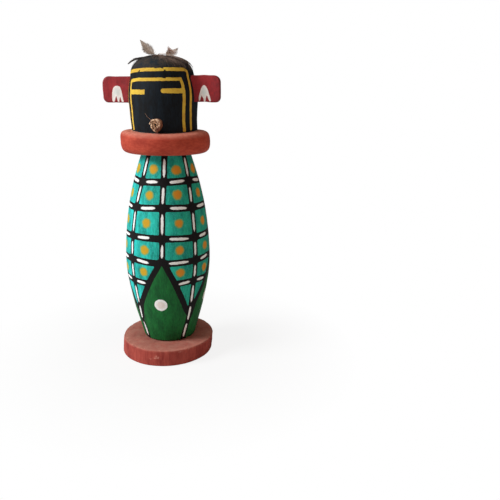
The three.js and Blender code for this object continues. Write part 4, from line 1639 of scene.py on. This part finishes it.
def lay_down(places, closeness):
    """Keep barbs out of the wood and lay them down on it. At the edge: 0 flat on it, 1 as they grew."""
    share_x, share_y = (places[:, 0] - LEAN_AT_CROWN) / DOME_RADIUS, places[:, 1] / DOME_RADIUS
    past = np.maximum(np.hypot(share_x, share_y) / HUG_TO, 1) if closeness < 1 else np.ones(len(places))
    share_x, share_y = share_x / past, share_y / past
    x, y = share_x * DOME_RADIUS + LEAN_AT_CROWN, share_y * DOME_RADIUS
    drop = (past - 1) * DOME_RADIUS * HANG
    z = places[:, 2] - drop
    from_middle = np.hypot(share_x, share_y)
    surface = dome_height(share_x, share_y) - DOME_SINK
    height = z - surface
    over_wood = (from_middle < WOOD_TO) & (height > -WOOD_DEPTH)
    hole = over_crown(*HOLE, 0)
    in_hole = (np.hypot(x - hole[0], y - hole[1]) < HOLE_REACH) & (height < 0)
    softness = np.interp(from_middle, SOFT_FROM, (SOFT_INSIDE, closeness))
    laid = surface + LAID_LIFT + np.maximum(height, 0) * softness - drop
    return np.column_stack([x, y, np.where(over_wood & ~in_hole, laid, z)])


def keep_below(places, top):
    """Squeeze what stands above the crown until it stays just under a level."""
    z = places[:, 2]
    squeeze = min(1, (top - ROOM_ABOVE - CROWN) / max(z.max() - CROWN, 0.1))
    return np.column_stack([places[:, :2], np.where(z > CROWN, CROWN + (z - CROWN) * squeeze, z)])


print("lower at 0.6 of the dome's radius:", round(float(CROWN - dome_height(0.6, 0)), 2), "mm")

# %% [markdown]
# A feather's colour runs from dark to pale with the shade of each barb, and a noise streaks it.

# %% Colours of the feathers
def feather_finish(name, pale, dark, streak):
    material, tree, shader = finish_material(name, {"Roughness": 0.75, "Sheen Weight": 0.2})
    colour = mix(tree, attribute(tree, "shade"), dark, pale)
    streaks = spread(tree, noise(tree, object_place(tree), 420.0), 0.45, 0.6)
    colour = mix(tree, times(tree, streaks, 0.65), colour, streak)
    tree.links.new(colour, shader.inputs["Base Color"])
    return material


TAUPE = feather_finish("taupe_feather", srgb(216, 198, 182), srgb(128, 106, 94), srgb(164, 142, 126))
BROWN = feather_finish("brown_feather", srgb(146, 114, 96), srgb(34, 22, 17), srgb(78, 46, 34))
DARK = feather_finish("dark_feather", srgb(92, 80, 76), srgb(32, 26, 27), srgb(52, 40, 36))
REDDISH = feather_finish("reddish_feather", srgb(250, 238, 228), srgb(204, 184, 172), srgb(160, 104, 88))
print("feather colours:", [finish.name for finish in (TAUPE, BROWN, DARK, REDDISH)])

# %% [markdown]
# Each feather has its own line and sizes. The names of the sizes are those of the tree's inputs, with a
# low line for a space. What a feather doesn't name stays as the tree has it.

# %% Feathers
FEATHERS = {
    "feather_upright": dict(
        turn=195, stops=((-0.24, -0.17, 1.0), (-0.42, -0.19, 4.0), (-0.62, -0.2, 9.1)),
        Faces=(0.3, -1, 0.3), Width=5.8 * MM, Bare=0.28, Barbs=210, Barb_width=0.36 * MM, Forward=32.0,
        Tip_forward=58.0, Tip_width=0.0, Ragged=0.32, Fullest=0.37, Fullness=1.35, Down=8, Seed=11,
        Finish=TAUPE),
    "feather_fan": dict(
        turn=60, stops=((0.12, -0.1, 0.5), (0.24, -0.02, 0.7), (0.29, 0.03, 2.0), (0.31, 0.06, 4.0)),
        Faces=(0.2, -1, 0.1), Width=6.0 * MM, Bare=0.55, Barbs=130, Barb_width=0.45 * MM, Forward=18.0,
        Tip_forward=34.0, Tip_width=0.98, Ragged=0.06, Fullest=0.25, Down=4, Seed=23, Finish=REDDISH),
    "feather_dark_left": dict(
        turn=250, stops=((-0.3, -0.42, 0.4), (-0.6, -0.42, 0.3), (-0.86, -0.34, 2.0), (-1.0, -0.27, 7.2)),
        Faces=(0.1, -0.8, 1), Width=1.5 * MM, Bare=0.1, Barbs=190, Forward=66.0, Ragged=0.25,
        Fullest=0.7, Down=4, Shaft=0.32 * MM, Seed=35, Finish=DARK),
    "feather_crown_left": dict(
        turn=140, stops=((-0.32, -0.2, 0.4), (-0.5, -0.22, 0.4), (-0.66, -0.2, 0.4)),
        Faces=(-0.2, 0, 1), Width=7.5 * MM, Bare=0.2, Barbs=110, Forward=50.0, Ragged=0.4, Down=14,
        Seed=47, Finish=DARK),
    "feather_crown_right": dict(
        turn=5, stops=((0.12, -0.16, 0.4), (0.4, -0.18, 0.4), (0.62, -0.14, 0.4), (0.8, -0.1, 0.4)),
        Faces=(0.2, -0.1, 1), Width=9 * MM, Bare=0.14, Barbs=140, Barb_width=0.42 * MM, Forward=50.0,
        Ragged=0.4, Down=18, Seed=59, Finish=BROWN),
    "feather_crown_front": dict(
        turn=310, stops=((0.0, -0.44, 0.4), (0.22, -0.58, 0.4), (0.46, -0.56, 0.4), (0.68, -0.44, 0.4)),
        Faces=(0.1, -0.6, 1), Width=7.0 * MM, Bare=0.06, Barbs=150, Barb_width=0.42 * MM, Forward=50.0,
        Ragged=0.4, Down=18, Seed=71, Finish=BROWN),
}
CLOSENESS = {"feather_dark_left": 1.0, "feather_crown_left": 0.2, "feather_crown_right": 0.2,
             "feather_crown_front": 0.2}


def make_feather(name, turn, stops, **shape):
    sizes = {label.replace("_", " "): value for label, value in shape.items()}
    sizes["Faces"] = tuple(unit(shape["Faces"]))
    feather = outward(grow("soft_" + name, polyline(spine(turn, stops)), FEATHER, sizes))
    places = places_of(feather)
    if name in CLOSENESS:
        places = lay_down(places, CLOSENESS[name])
    else:
        places = keep_below(places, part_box(name)[1][2] / MM)
    move_to(feather, places)
    declare(feather, name)
    print(name, len(feather.data.polygons), "faces")


for name, shape in FEATHERS.items():
    make_feather(name, **shape)
